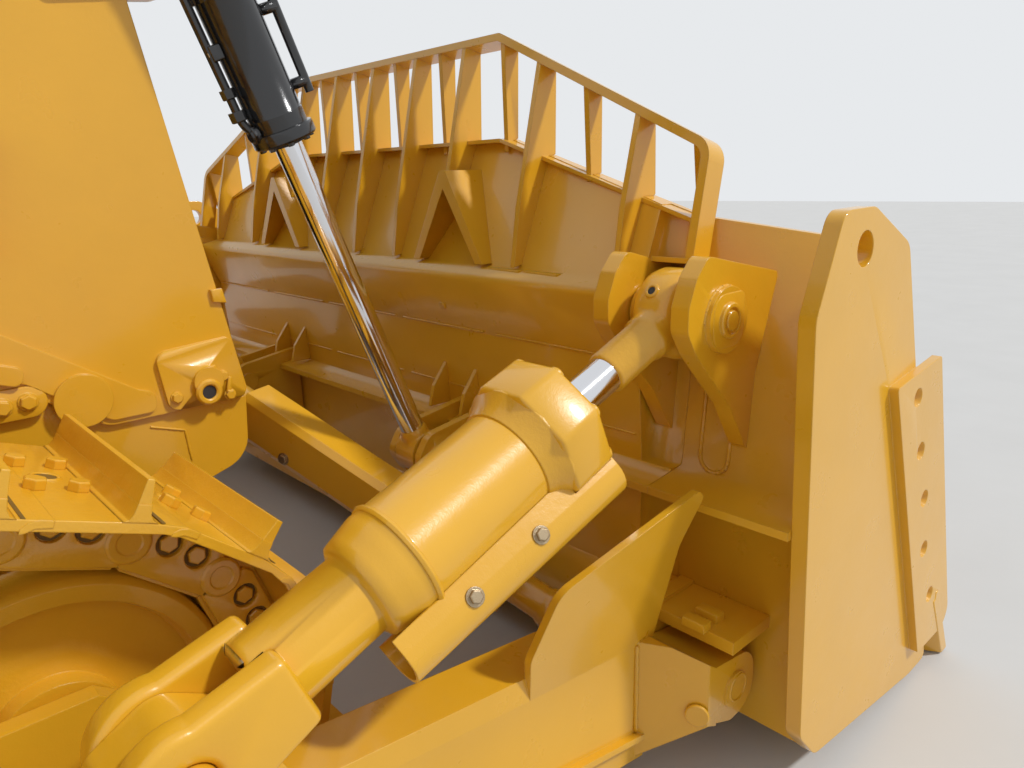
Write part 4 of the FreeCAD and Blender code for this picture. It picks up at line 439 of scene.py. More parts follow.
def lie(foot: Vector, along: Vector, across: Vector, out: Vector) -> Matrix:
    """Gives the matrix that lays a flat shape on a face.

    Args:
        foot: Where the shape's origin goes.
        along: The direction of its +X.
        across: The direction of its +Y.
        out: The direction of its +Z, away from the face.

    Returns:
        The matrix, left-handed where the directions are.
    """
    return Matrix.Translation(foot) @ Matrix((along, across, out)).transposed().to_4x4()


def bevelled(form: Form, edges: list, width: float, segments: int = 2) -> None:
    """Rounds some edges of a bmesh.

    Args:
        form: The bmesh.
        edges: The edges to round.
        width: The rounding's width in millimetres.
        segments: How many faces it has.
    """
    if width > 0.0:
        bmesh.ops.bevel(form, geom=edges, offset=width / 1000, segments=segments, profile=0.5,
                        affect="EDGES", material=-1)


def turned(profile: Outline, sides: int = 20) -> Form:
    """Spins a profile about the Z axis.

    Args:
        profile: Rows of radius and height in millimetres, from the axis to the axis, or closed.
        sides: How many faces go round.

    Returns:
        The turned shape.
    """
    form = bmesh.new()
    verts = [form.verts.new((r / 1000, 0.0, h / 1000)) for r, h in profile]
    edges = [form.edges.new(pair) for pair in zip(verts, verts[1:])]
    bmesh.ops.spin(form, geom=verts + edges, cent=(0, 0, 0), axis=(0, 0, 1),
                   angle=2 * math.pi, steps=sides, use_merge=True)
    bmesh.ops.remove_doubles(form, verts=form.verts, dist=0.000001)
    return form


def hexhead(across: Number, high: Number, washer: Number = 0.0) -> Form:
    """Makes a bolt's chamfered hexagonal head on its washer.

    Args:
        across: Width across the flats in millimetres.
        high: Height of the head.
        washer: Radius of the washer, or 0 for none.

    Returns:
        The bolt head, standing on its origin.
    """
    form = bmesh.new()
    made = bmesh.ops.create_cone(form, cap_ends=True, segments=6, radius1=across / 1732,
                                 radius2=across / 1732, depth=high / 1000)
    bmesh.ops.translate(form, vec=(0, 0, high / 2000), verts=made["verts"])
    top = [e for e in form.edges if all(v.co.z > high / 1100 for v in e.verts)]
    bevelled(form, top, across * 0.07, 1)
    if washer:
        mesh = bpy.data.meshes.new("washer")
        disc = turned([(0, -1), (washer, -1), (washer, 3), (0, 3.2)], 14)
        disc.to_mesh(mesh)
        disc.free()
        form.from_mesh(mesh)
        bpy.data.meshes.remove(mesh)
    return form


def slab(outline: Outline, thick: Number, soft: Number = 2.0,
         floor: Number = 0.0) -> Form:
    """Makes a plate of an outline in the XY plane, its upper edges rounded.

    Args:
        outline: Corners in millimetres.
        thick: Thickness in millimetres.
        soft: Rounding of the upper edges.
        floor: Depth of the plate's foot below its origin.

    Returns:
        The plate.
    """
    form = bmesh.new()
    face = form.faces.new([form.verts.new((x / 1000, y / 1000, -floor / 1000))
                           for x, y in outline])
    grown = bmesh.ops.extrude_face_region(form, geom=[face])["geom"]
    top = [item for item in grown if isinstance(item, bmesh.types.BMVert)]
    bmesh.ops.translate(form, vec=(0, 0, (thick + floor) / 1000), verts=top)
    rim = [item for item in grown if isinstance(item, bmesh.types.BMEdge)]
    bevelled(form, rim, soft)
    return form


def pierced(outline: Outline, windows: Sequence[tuple], thick: Number,
            soft: float = 3.0) -> Form:
    """Makes a plate with round windows.

    Args:
        outline: Corners in millimetres.
        windows: Rows of x, y and radius.
        thick: Thickness in millimetres.
        soft: Rounding of the upper outer edges.

    Returns:
        The plate, standing on its origin.
    """
    form = bmesh.new()
    loops = [list(outline)]
    for x, y, radius in windows:
        turns = [2 * math.pi * i / 18 for i in range(18)]
        loops.append([(x + radius * math.cos(t), y + radius * math.sin(t)) for t in turns])
    for loop in loops:
        verts = [form.verts.new((x / 1000, y / 1000, 0)) for x, y in loop]
        for pair in zip(verts, verts[1:] + verts[:1]):
            form.edges.new(pair)
    filled = bmesh.ops.triangle_fill(form, edges=form.edges[:], use_beauty=True,
                                     use_dissolve=False)["geom"]
    faces = [item for item in filled if isinstance(item, bmesh.types.BMFace)]
    grown = bmesh.ops.extrude_face_region(form, geom=faces)["geom"]
    top = [item for item in grown if isinstance(item, bmesh.types.BMVert)]
    bmesh.ops.translate(form, vec=(0, 0, thick / 1000), verts=top)
    height = thick / 1001
    rim = [e for e in form.edges if len(e.link_faces) == 2 and e.calc_face_angle() > 1.0
           and all(v.co.z > height for v in e.verts)]
    bevelled(form, rim, soft)
    return form


def oval(length: Number, width: Number, radius: Number, steps: int = 5) -> list:
    """Gives the outline of a rectangle with rounded corners about the origin.

    Args:
        length: Size along X in millimetres.
        width: Size along Y.
        radius: Radius of the corners.
        steps: Points on each corner, less one.

    Returns:
        The outline's points.
    """
    points = []
    for quarter in range(4):
        sx = 1 if quarter in (0, 3) else -1
        sy = 1 if quarter in (0, 1) else -1
        for i in range(steps + 1):
            angle = math.radians(90 * quarter + 90 * i / steps)
            points.append((sx * (length / 2 - radius) + radius * math.cos(angle),
                           sy * (width / 2 - radius) + radius * math.sin(angle)))
    return points


def bead(start: Vector, end: Vector, width: Number) -> tuple[Form, Matrix]:
    """Makes a rippled weld bead between two points.

    Args:
        start: Where the bead starts.
        end: Where it ends.
        width: Its radius in millimetres.

    Returns:
        The bead and the matrix that puts it in place.
    """
    length = (end - start).length * 1000
    count = max(4, int(length / (width * 1.3)))
    rows = [(0.0, 0.0)]
    for i in range(count + 1):
        swell = width * (0.86 + 0.14 * math.sin(i * 2.2) + 0.06 * math.sin(i * 0.7))
        rows.append((swell * (0.8 if i in (0, count) else 1.0), length * i / count))
    rows.append((0.0, length))
    return turned(rows, 8), stand(start, end - start)


def swept(points: Sequence[Vector], radius: Number, level: int = 3) -> Form:
    """Makes a round tube along a smooth line through control points.

    Args:
        points: The line's control points.
        radius: The tube's radius in millimetres.
        level: How finely the tube is rounded.

    Returns:
        The tube.
    """
    line = bpy.data.curves.new("tube_line", "CURVE")
    line.dimensions = "3D"
    line.bevel_depth = radius / 1000
    line.bevel_resolution = level
    line.resolution_u = 6
    line.use_fill_caps = True
    spline = line.splines.new("NURBS")
    spline.points.add(len(points) - 1)
    for point, place in zip(spline.points, points):
        point.co = (*place, 1.0)
    spline.order_u = 3
    spline.use_endpoint_u = True
    holder = bpy.data.objects.new("tube_line", line)
    mesh = bpy.data.meshes.new_from_object(holder)
    form = bmesh.new()
    form.from_mesh(mesh)
    bmesh.ops.remove_doubles(form, verts=form.verts, dist=0.00001)
    bpy.data.objects.remove(holder)
    bpy.data.curves.remove(line)
    bpy.data.meshes.remove(mesh)
    return form


class Forge:
    """Collects shapes in one bmesh that becomes one piece."""

    def __init__(self) -> None:
        """Starts empty."""
        self.form = bmesh.new()

    def add(self, part: Form, *places: Matrix) -> "Forge":
        """Stamps a shape at one or more places and frees it.

        Args:
            part: The shape.
            *places: Where it goes, or nothing to leave it where it is.

        Returns:
            This forge.
        """
        mesh = bpy.data.meshes.new("stamp")
        part.to_mesh(mesh)
        part.free()
        for place in places or (Matrix.Identity(4),):
            before = len(self.form.verts)
            self.form.from_mesh(mesh)
            self.form.verts.ensure_lookup_table()
            bmesh.ops.transform(self.form, matrix=place, verts=self.form.verts[before:])
        bpy.data.meshes.remove(mesh)
        return self

    def weld(self, start: Vector, end: Vector, width: Number) -> "Forge":
        """Lays a weld bead.

        Args:
            start: Where it starts.
            end: Where it ends.
            width: Its radius in millimetres.

        Returns:
            This forge.
        """
        shape, place = bead(start, end, width)
        return self.add(shape, place)

    def seam(self, points: Sequence[Vector], width: Number) -> None:
        """Lays weld beads from point to point.

        Args:
            points: The seam's corners in order.
            width: The beads' radius in millimetres.
        """
        for start, end in zip(points, points[1:]):
            self.weld(start, end, width)

    def twin(self) -> "Forge":
        """Repeats everything on the other side of the middle plane."""
        mesh = bpy.data.meshes.new("twin")
        self.form.to_mesh(mesh)
        before = len(self.form.verts)
        self.form.from_mesh(mesh)
        self.form.verts.ensure_lookup_table()
        bmesh.ops.scale(self.form, vec=(1.0, -1.0, 1.0), verts=self.form.verts[before:])
        bpy.data.meshes.remove(mesh)
        return self


class Workshop:
    """Turns bmeshes and CAD nodes into finished pieces that ride on their bodies."""

    def __init__(self, paint: PaintShop) -> None:
        """Keeps the paint shop.

        Args:
            paint: The paint shop that lays the finishes.
        """
        self.paint = paint
        self.body_of = {n: b for b, names in frame["record"]["behaviour"]["bodies"].items()
                        for n in names}

    def piece(self, name: str, form: Form, finish: Finish, body: str, sharp: float = SHARP,
              stands_for: Optional[str] = None, outward: bool = True) -> bpy.types.Object:
        """Makes an object from a bmesh, finished and riding on a body.

        Args:
            name: The piece's name.
            form: The shape, freed afterwards.
            finish: Its finish.
            body: The CAD body that it rides on.
            sharp: The angle in degrees from which an edge stays sharp.
            stands_for: The CAD node that it replaces, if any.
            outward: Whether the normals are recalculated to point outwards.

        Returns:
            The piece.
        """
        if outward:
            bmesh.ops.recalc_face_normals(form, faces=form.faces)
        mesh = bpy.data.meshes.new(name)
        form.to_mesh(mesh)
        form.free()
        for polygon in mesh.polygons:
            polygon.use_smooth = True
        mesh.set_sharp_from_angle(angle=math.radians(sharp))
        made = bpy.data.objects.new(name, mesh)
        bpy.context.scene.collection.objects.link(made)
        self.paint.lay(made, finish)
        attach(made, body)
        if stands_for:
            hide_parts(stands_for)
        LOG.info("%s: %d faces on %s", name, len(mesh.polygons), body)
        return made

    def copied(self, node: str, suffix: str, form: Form, finish: Finish) -> bpy.types.Object:
        """Makes the piece that stands for a CAD node from its changed copy.

        Args:
            node: The CAD node.
            suffix: What its name gets at the end.
            form: The copy's mesh, freed afterwards.
            finish: Its finish.

        Returns:
            The piece.
        """
        return self.piece(f"{node}_{suffix}", form, finish, self.body_of[node],
                          stands_for=node, outward=False)

    def twins(self, body: str, *rows: tuple[str, Forge, Finish]) -> None:
        """Makes pieces that repeat on the other side of the middle plane.

        Args:
            body: The CAD body that they ride on.
            *rows: Each piece's name, its right-hand shapes and its finish.
        """
        for name, forge, finish in rows:
            self.piece(name, forge.twin().form, finish, body)

    def merged(self, node: str) -> Form:
        """Gives a merged copy of a CAD node's mesh with whole flat faces.

        Args:
            node: The CAD node.

        Returns:
            The copy.
        """
        form = bmesh.new()
        form.from_mesh(frame["nodes"][node].data)
        bmesh.ops.remove_doubles(form, verts=form.verts, dist=0.0001)
        bmesh.ops.dissolve_limit(form, angle_limit=math.radians(0.4), verts=form.verts,
                                 edges=form.edges, use_dissolve_boundaries=False)
        return form

    def divide(self, node: str, cut: Vector, normal: Vector, finishes: Sequence[Finish]) -> None:
        """Replaces a CAD node by two lengths with a finish each, cut square to a direction.

        Args:
            node: The CAD node.
            cut: A point on the cutting plane.
            normal: The direction.
            finishes: The finish before and behind the cut.
        """
        for i, finish in enumerate(finishes):
            form = self.merged(node)
            bmesh.ops.bisect_plane(
                form, geom=form.verts[:] + form.edges[:] + form.faces[:], plane_co=cut,
                plane_no=normal, clear_outer=i == 0, clear_inner=i == 1)
            bmesh.ops.holes_fill(form, edges=[e for e in form.edges if e.is_boundary], sides=0)
            self.copied(node, f"{finish.name.lower()}_{i}", form, finish)

    def drop_ahead(self, form: Form, limit: float) -> None:
        """Deletes the loose bodies of a mesh that lie wholly ahead of a place.

        Args:
            form: The mesh.
            limit: The place along the machine, in metres.
        """
        waiting = set(form.verts)
        while waiting:
            island, edge = set(), [waiting.pop()]
            while edge:
                vert = edge.pop()
                island.add(vert)
                near = {e.other_vert(vert) for e in vert.link_edges} - island
                edge += [v for v in near if v in waiting]
                waiting -= near
            if min(v.co.x for v in island) > limit:
                bmesh.ops.delete(form, geom=list(island), context="VERTS")

    def soften(self, form: Form, foot: Vector, along: Vector,
               rows: Sequence[tuple[Number, Number, Number, int]]) -> None:
        """Rounds the sharp edges of stretches of a casting.

        Args:
            form: The casting's mesh.
            foot: Where its stretches are measured from.
            along: The direction that they are measured in.
            rows: Where each stretch starts and ends, its rounding in millimetres and segments.
        """
        for low, high, width, segments in rows:
            edges = [e for e in form.edges
                     if len(e.link_faces) == 2 and e.calc_face_angle_signed() > math.radians(36)
                     and all(low <= 1000 * (v.co - foot).dot(along) <= high for v in e.verts)]
            bevelled(form, edges, width, segments)

    def pane_out(self, node: str, half: float) -> Form:
        """Gives a door's mesh without its pane.

        Args:
            node: The door's CAD node.
            half: Distance of the pane's middle from the middle plane, in metres.

        Returns:
            The door's frame.
        """
        form = self.merged(node)
        pane = [f for f in form.faces if abs(f.normal.y) > 0.99 and f.calc_area() > 0.2
                and abs(abs(f.calc_center_median().y) - half) < 0.006]
        bmesh.ops.delete(form, geom=pane, context="FACES_ONLY")
        bmesh.ops.bridge_loops(form, edges=[e for e in form.edges if e.is_boundary])
        return form


@dataclass
class Studio:
    """Camera, lights and floor."""

    eye: Point = (-186.0, -2653.0, 1589.0)
    right: Point = (0.7330, -0.6797, -0.0269)
    down: Point = (-0.1969, -0.1741, -0.9649)
    forward: Point = (0.6511, 0.7126, -0.2614)
    focal_share: float = 761.5 / 1024
    sun_from: Point = (0.42, -0.62, 0.80)
    sun_strength: float = 2.3
    sun_angle: float = 5.0
    sky_strength: float = 0.62
    sky_light: Sequence[float] = (0.93, 0.96, 1.0, 1.0)
    backdrop: Sequence[float] = (0.80, 0.82, 0.84, 1.0)
    film: float = 36.0
    floor_reach: float = 40.0

    def camera(self) -> None:
        """Puts the camera where the photograph was taken."""
        lens = bpy.data.cameras.new("photo_camera")
        lens.sensor_fit = "HORIZONTAL"
        lens.sensor_width = self.film
        lens.lens = self.film * self.focal_share
        lens.clip_end = 200.0
        holder = bpy.data.objects.new("photo_camera", lens)
        bpy.context.scene.collection.objects.link(holder)
        turn = Matrix((self.right, [-c for c in self.down], [-c for c in self.forward]))
        turn = turn.transposed().to_4x4()
        holder.matrix_world = Matrix.Translation(at(*self.eye)) @ turn
        bpy.context.scene.camera = holder

    def lights(self) -> None:
        """Sets a soft sun-like lamp and a pale surround."""
        lamp = bpy.data.lights.new("key_light", "SUN")
        lamp.energy = self.sun_strength
        lamp.angle = math.radians(self.sun_angle)
        holder = bpy.data.objects.new("key_light", lamp)
        bpy.context.scene.collection.objects.link(holder)
        holder.rotation_euler = Vector(self.sun_from).to_track_quat("Z", "Y").to_euler()
        world = bpy.data.worlds.new("pale_surround")
        bpy.context.scene.world = world
        world.use_nodes = True
        tree = world.node_tree
        tree.nodes.clear()
        path = tree.nodes.new("ShaderNodeLightPath")
        soft, seen = (tree.nodes.new("ShaderNodeBackground") for _ in range(2))
        for sky, colour, strength in ((soft, self.sky_light, self.sky_strength),
                                      (seen, self.backdrop, 1.0)):
            sky.inputs[0].default_value = colour
            sky.inputs[1].default_value = strength
        mix = tree.nodes.new("ShaderNodeMixShader")
        out = tree.nodes.new("ShaderNodeOutputWorld")
        seen_by = path.outputs["Is Camera Ray"]
        for ray in ("Is Glossy Ray", "Is Transmission Ray"):
            either = tree.nodes.new("ShaderNodeMath")
            either.operation = "MAXIMUM"
            tree.links.new(seen_by, either.inputs[0])
            tree.links.new(path.outputs[ray], either.inputs[1])
            seen_by = either.outputs[0]
        tree.links.new(seen_by, mix.inputs[0])
        tree.links.new(soft.outputs[0], mix.inputs[1])
        tree.links.new(seen.outputs[0], mix.inputs[2])
        tree.links.new(mix.outputs[0], out.inputs[0])

    def floor(self) -> None:
        """Lays a plain pale floor."""
        form = bmesh.new()
        bmesh.ops.create_grid(form, x_segments=1, y_segments=1, size=self.floor_reach)
        mesh = bpy.data.meshes.new("floor")
        form.to_mesh(mesh)
        form.free()
        ground = bpy.data.objects.new("floor", mesh)
        bpy.context.scene.collection.objects.link(ground)
        g = Graph("pale_floor")
        mottle = g.noise(1.4, 4.0, 0.6)
        shade = g.blend(mottle, (0.55, 0.545, 0.53, 1.0), (0.62, 0.615, 0.60, 1.0))
        ground.data.materials.append(g.finish(Base_Color=shade, Roughness=0.85))

    def build(self) -> None:
        """Sets view, camera, lights and floor."""
        bpy.context.scene.view_settings.view_transform = "Standard"
        self.camera()
        self.lights()
        self.floor()


class Assembly(abc.ABC):
    """A group of pieces that scene.py adds to the CAD nodes."""

    @abc.abstractmethod
    def build(self, shop: Workshop) -> None:
        """Makes the group's pieces.

        Args:
            shop: The workshop that finishes them.
        """


@dataclass
class TrackChain(Assembly):
    """Shoe bolts, shoe lips, link sides, pin bosses and mud holes of both tracks, with painted shade
    in the mud holes, the link windows and the gaps between shoes.
    """

    base: float = 3206.0              # between the idlers
    pins_up: float = 566.867          # height of the idlers' centres
    idler: float = 399.867            # radius of the pin line round an idler
    drive: tuple[float, float, float] = (-2456.0, 845.0, 468.0)
    shoes: int = 44
    middle: float = 1041.5            # from the middle plane to the track's middle
    rail_out: float = 1146.5
    pitch: float = 216.0
    shoe_top: float = 89.0            # above the pin line
    bolt_rows: tuple[float, float] = (0.46, 0.80)
    mud_hole: float = 0.63            # share of a link's length, as in bolt_rows and windows
    bolt_side: float = 84.0
    shoe_half: float = 281.0          # 1 mm past the CAD's shoe
    windows: tuple[float, float] = (0.33, 0.64)

    def stretches(self) -> list[tuple]:
        """Gives the pin line's arcs and straight runs in order.

        Returns:
            Rows of length, start and end for a straight run, and of length, centre's x and z,
            radius, first angle and turn for an arc.
        """
        wheels = [(0.0, self.pins_up, self.idler),
                  (self.drive[0], self.pins_up + self.drive[1], self.drive[2]),
                  (-self.base, self.pins_up, self.idler)]
        leave = []
        for (x0, z0, r0), (x1, z1, r1) in zip(wheels, wheels[1:] + wheels[:1]):
            span = math.hypot(x1 - x0, z1 - z0)
            leave.append(math.atan2(z1 - z0, x1 - x0) - math.pi / 2 - math.asin((r1 - r0) / span))
        rows = []
        for i, (x, z, radius) in enumerate(wheels):
            turn = (leave[i] - leave[i - 1]) % (2 * math.pi)
            rows.append((radius * turn, x, z, radius, leave[i - 1], turn))
            x1, z1, r1 = wheels[(i + 1) % 3]
            start = Vector((x + radius * math.cos(leave[i]), 0, z + radius * math.sin(leave[i])))
            end = Vector((x1 + r1 * math.cos(leave[i]), 0, z1 + r1 * math.sin(leave[i])))
            rows.append(((end - start).length, start, end))
        return rows

    def spot(self, rows: list[tuple], along: float) -> Vector:
        """Gives the pin line's point at a distance along it.

        Args:
            rows: The stretches.
            along: The distance in millimetres.

        Returns:
            The point in millimetres from the front idler's centre.
        """
        for row in rows:
            if along <= row[0]:
                if len(row) == 3:
                    return row[1].lerp(row[2], along / row[0])
                angle = row[4] + along / row[3]
                return Vector((row[1] + row[3] * math.cos(angle), 0,
                               row[2] + row[3] * math.sin(angle)))
            along -= row[0]
        return self.spot(rows, 0.0)

    def links(self) -> list[tuple[Vector, Vector, Vector, float]]:
        """Gives every link's first pin, direction, outward direction and length."""
        rows = self.stretches()
        step = sum(row[0] for row in rows) / self.shoes
        found = []
        for i in range(self.shoes):
            first = self.spot(rows, i * step)
            along = self.spot(rows, (i + 1) * step % (step * self.shoes)) - first
            length = along.length
            along.normalize()
            found.append((first, along, Vector((along.z, 0, -along.x)), length))
        return found

    def build(self, shop: Workshop) -> None:
        """Makes the bolts, link plates and pins."""
        links = self.links()
        bolts, rims, holes, plates, lips = (Forge() for _ in range(5))
        heads, rings, windows, faces, bosses = [], [], [], [], []
        for first, along, outward, length in links:
            for share in self.bolt_rows:
                for side in (-1, 1):
                    spot = first + along * (share * length) + outward * self.shoe_top
                    heads.append(stand(at(spot.x, -self.middle + side * self.bolt_side, spot.z),
                                       outward, 0.4 * share + side))
            spot = first + along * (self.mud_hole * length) + outward * self.shoe_top
            rings.append(lie(at(spot.x, -self.middle, spot.z), along, RIGHT, outward))
            faces.append(lie(at(first.x, -self.rail_out, first.z), along, outward, RIGHT))
            bosses.append(stand(at(first.x, -self.rail_out, first.z), RIGHT))
            for share in self.windows:
                spot = first + along * (share * self.pitch) + outward * (20 + 7 * share)
                windows.append((stand(at(spot.x, -self.rail_out, spot.z), RIGHT), share * 3))
        bolts.add(hexhead(36, 20), *heads)
        width = 2 * self.shoe_half
        across = [lie(at(first.x, self.shoe_half - self.middle, first.z), along, outward, RIGHT)
                  for first, along, outward, _ in links]
        toe = [(182, 89.5), (203, 89.5), (219, 84), (229, 73), (229, 64), (221, 66), (208, 74),
               (182, 76)]
        root = [(19, 89.2), (29, 93), (35, 104), (37, 122), (61, 122), (64, 104), (70, 93), (80, 89.2)]
        for shape in (toe, root):
            lips.add(slab(shape, width, 0), *across)
        # A thin dark strip of painted shade in the crevice between neighbouring shoes
        gap = [(6, 88), (13, 88), (13, 89.7), (6, 89.7)]
        holes.add(slab(gap, width - 4, 0), *across)
        rims.add(turned([(20, -1), (20, 2), (26, 3.5), (31, -1), (20, -1)], 16), *rings)
        # A dark disc of painted shade at the bottom of each mud hole
        holes.add(turned([(0, 1.2), (20, 1.2), (20, -1), (0, -1)], 16), *rings)
        outline = [(10, -50), (206, -50), (214, -24), (206, 8), (198, 48), (178, 62), (38, 62),
                   (18, 48), (10, 8), (2, -24)]
        pierce = [(share * self.pitch, 20 + 7 * share, 27) for share in self.windows]
        plates.add(pierced(outline, pierce, 12.0), *faces)
        boss = [(0, -1), (43, -1), (43, 14), (38, 18), (26, 18), (23, 15), (0, 15)]
        plates.add(turned(boss, 20), *bosses)
        # Dark discs of painted shade at the bottom of the link windows, behind their nuts
        holes.add(turned([(0, 0.6), (26, 0.6), (26, -1), (0, -1)], 18), *(w for w, _ in windows))
        bolts.add(hexhead(34, 10), *(w @ Matrix.Rotation(turn, 4, "Z") for w, turn in windows))
        shop.twins("chassis", ("shoe_bolts", bolts, Finish.CAST),
                   ("mud_hole_rims", rims, Finish.CAST), ("track_painted_shade", holes, Finish.HOLLOW),
                   ("link_sides", plates, Finish.CAST), ("shoe_lips", lips, Finish.CAST))


@dataclass
class NoseFittings(Assembly):
    """Cover plates, bosses, studs and welds on the radiator guard's sides, with painted shade in a
    boss's hole.
    """

    side: float = -605.0
    case_y: float = -589.0
    plate_y: float = -617.0
    boss_y: float = -631.0
    upper_seam: Outline = ((440, 1142), (520, 1154), (607, 1167))
    lower_seam: Outline = ((401, 979), (488, 949), (495, 860))

    def build(self, shop: Workshop) -> None:
        """Makes the fittings on both sides."""
        yellow, hole_shade = Forge(), Forge()
        cover = [(x - 31, z + 1110) for x, z in oval(420, 78, 38)]
        yellow.add(slab(cover, 24, 4, 2), lie(at(0, self.case_y, 0), AHEAD, UP, RIGHT))
        for x, z in ((84, 1108), (137, 1111), (-190, 1110)):
            yellow.add(hexhead(32, 13, 22), stand(at(x, self.case_y - 24, z), RIGHT, x))
        boss = stand(at(551, self.boss_y, 1052), RIGHT)
        ring = [(19, -1), (19, 5), (23, 8), (31, 8), (36, 3), (36, -1), (19, -1)]
        yellow.add(turned(ring, 28), boss)
        # A black disc inside the boss ring: painted shade of the hole
        hole_shade.add(turned([(0, 1.5), (19, 1.5), (19, -1), (0, -1)], 24), boss)
        for x, z in ((598, 1086), (612, 1030), (470, 1050)):
            yellow.add(hexhead(24, 12, 17), stand(at(x, self.plate_y, z), RIGHT, x))
        for x, z, lean in ((612, 1058, 78), (560, 1112, 8)):
            yellow.add(slab(oval(46, 13, 6), 7, 2, 1),
                       lie(at(x, self.plate_y, z), AHEAD, UP, RIGHT)
                       @ Matrix.Rotation(math.radians(lean), 4, "Z"))
        for line, y, width in ((self.upper_seam, self.plate_y + 8, 7),
                               (self.lower_seam, self.case_y, 4)):
            yellow.seam([at(x, y, z) for x, z in line], width)
        tab = [(600, 1288), (636, 1282), (628, 1322), (596, 1322)]
        yellow.add(slab(tab, 12, 3, 1), lie(at(0, self.side, 0), AHEAD, UP, RIGHT))
        shop.twins("chassis", ("nose_fittings", yellow, Finish.PLATE),
                   ("nose_hole_shade", hole_shade, Finish.HOSE))


@dataclass
class LiftWork(Assembly):
    """Gland rings, feed tubes and unions of the lift cylinders."""

    pivot: Point = (640.0, -700.0, 2150.0)
    eye: Point = (1190.0, -700.0, 730.0)
    gland: float = 482.0
    barrel: float = 74.0
    rod: float = 38.0
    tube_out: float = 98.0

    def build(self, shop: Workshop) -> None:
        """Makes the fittings on both barrels."""
        axis = way(self.eye[0] - self.pivot[0], self.eye[2] - self.pivot[2])
        back = Vector((axis.z, 0.0, -axis.x))
        start = at(*self.pivot)

        def spot(along: Number, out: Number, side: Number = 0.0) -> Vector:
            """Gives a place by its station, its distance behind and to the right."""
            return start + axis * (along / 1000) + back * (out / 1000) + RIGHT * (side / 1000)

        black, steel, wiper = Forge(), Forge(), Forge()
        r = self.barrel
        gland = [(r - 2, -30), (r + 9, -28), (r + 11, -20), (r + 11, 0), (r + 7, 5), (r - 14, 7),
                 (r - 14, -20), (r - 2, -30)]
        black.add(turned(gland, 40), stand(spot(self.gland - 4, 0), axis))
        for i in range(8):
            turn = math.radians(45 * i + 20)
            side = LEFT * math.sin(turn) + back * math.cos(turn)
            place = spot(self.gland + 1, 0) + side * (r - 8) / 1000
            black.add(hexhead(17, 9), stand(place, axis, i))
        rod = self.rod
        lip = [(rod + 0.4, 0), (rod + 12, 0), (rod + 10, 9), (rod + 0.4, 11), (rod + 0.4, 0)]
        wiper.add(turned(lip, 32), stand(spot(self.gland + 1, 0), axis))
        band = [(r - 4, -9), (r + 5, -9), (r + 5, 9), (r - 4, 9), (r - 4, -9)]
        black.add(turned(band, 36), *(stand(spot(z, 0), axis) for z in (-940, -610, -120, 120)))
        t = self.tube_out
        line = [spot(-880, t, 6), spot(-300, t, 6), spot(250, t, 6), spot(352, t, 8),
                spot(404, t + 1, 8), spot(436, t - 18, 8), spot(440, r - 4, 8)]
        black.add(swept(line, 11))
        for z, across, high in ((318, 32, 24), (372, 38, 26)):
            black.add(hexhead(across, high), stand(spot(z, t + 0.5, 8), axis, 0.3))
        black.add(turned([(0, 0), (21, 0), (21, 12), (15, 22), (0, 22)], 20),
                  stand(spot(440, r - 2, 8), back))
        black.add(turned([(0, 0), (24, 0), (24, 6), (0, 6)], 6), stand(spot(440, r + 8, 8), back))
        for z in (-820, -420, -40, 236):
            black.add(slab(oval(38, 30, 6), 20, 2, 8), lie(spot(z, r + 6, 8), axis, RIGHT, back))
            steel.add(hexhead(15, 7), stand(spot(z, r + 25, 8), back))
        shop.twins("lift_barrels", ("lift_glands_and_tubes", black, Finish.BLACK),
                   ("lift_wipers", wiper, Finish.HOSE), ("lift_clamp_bolts", steel, Finish.ZINC))


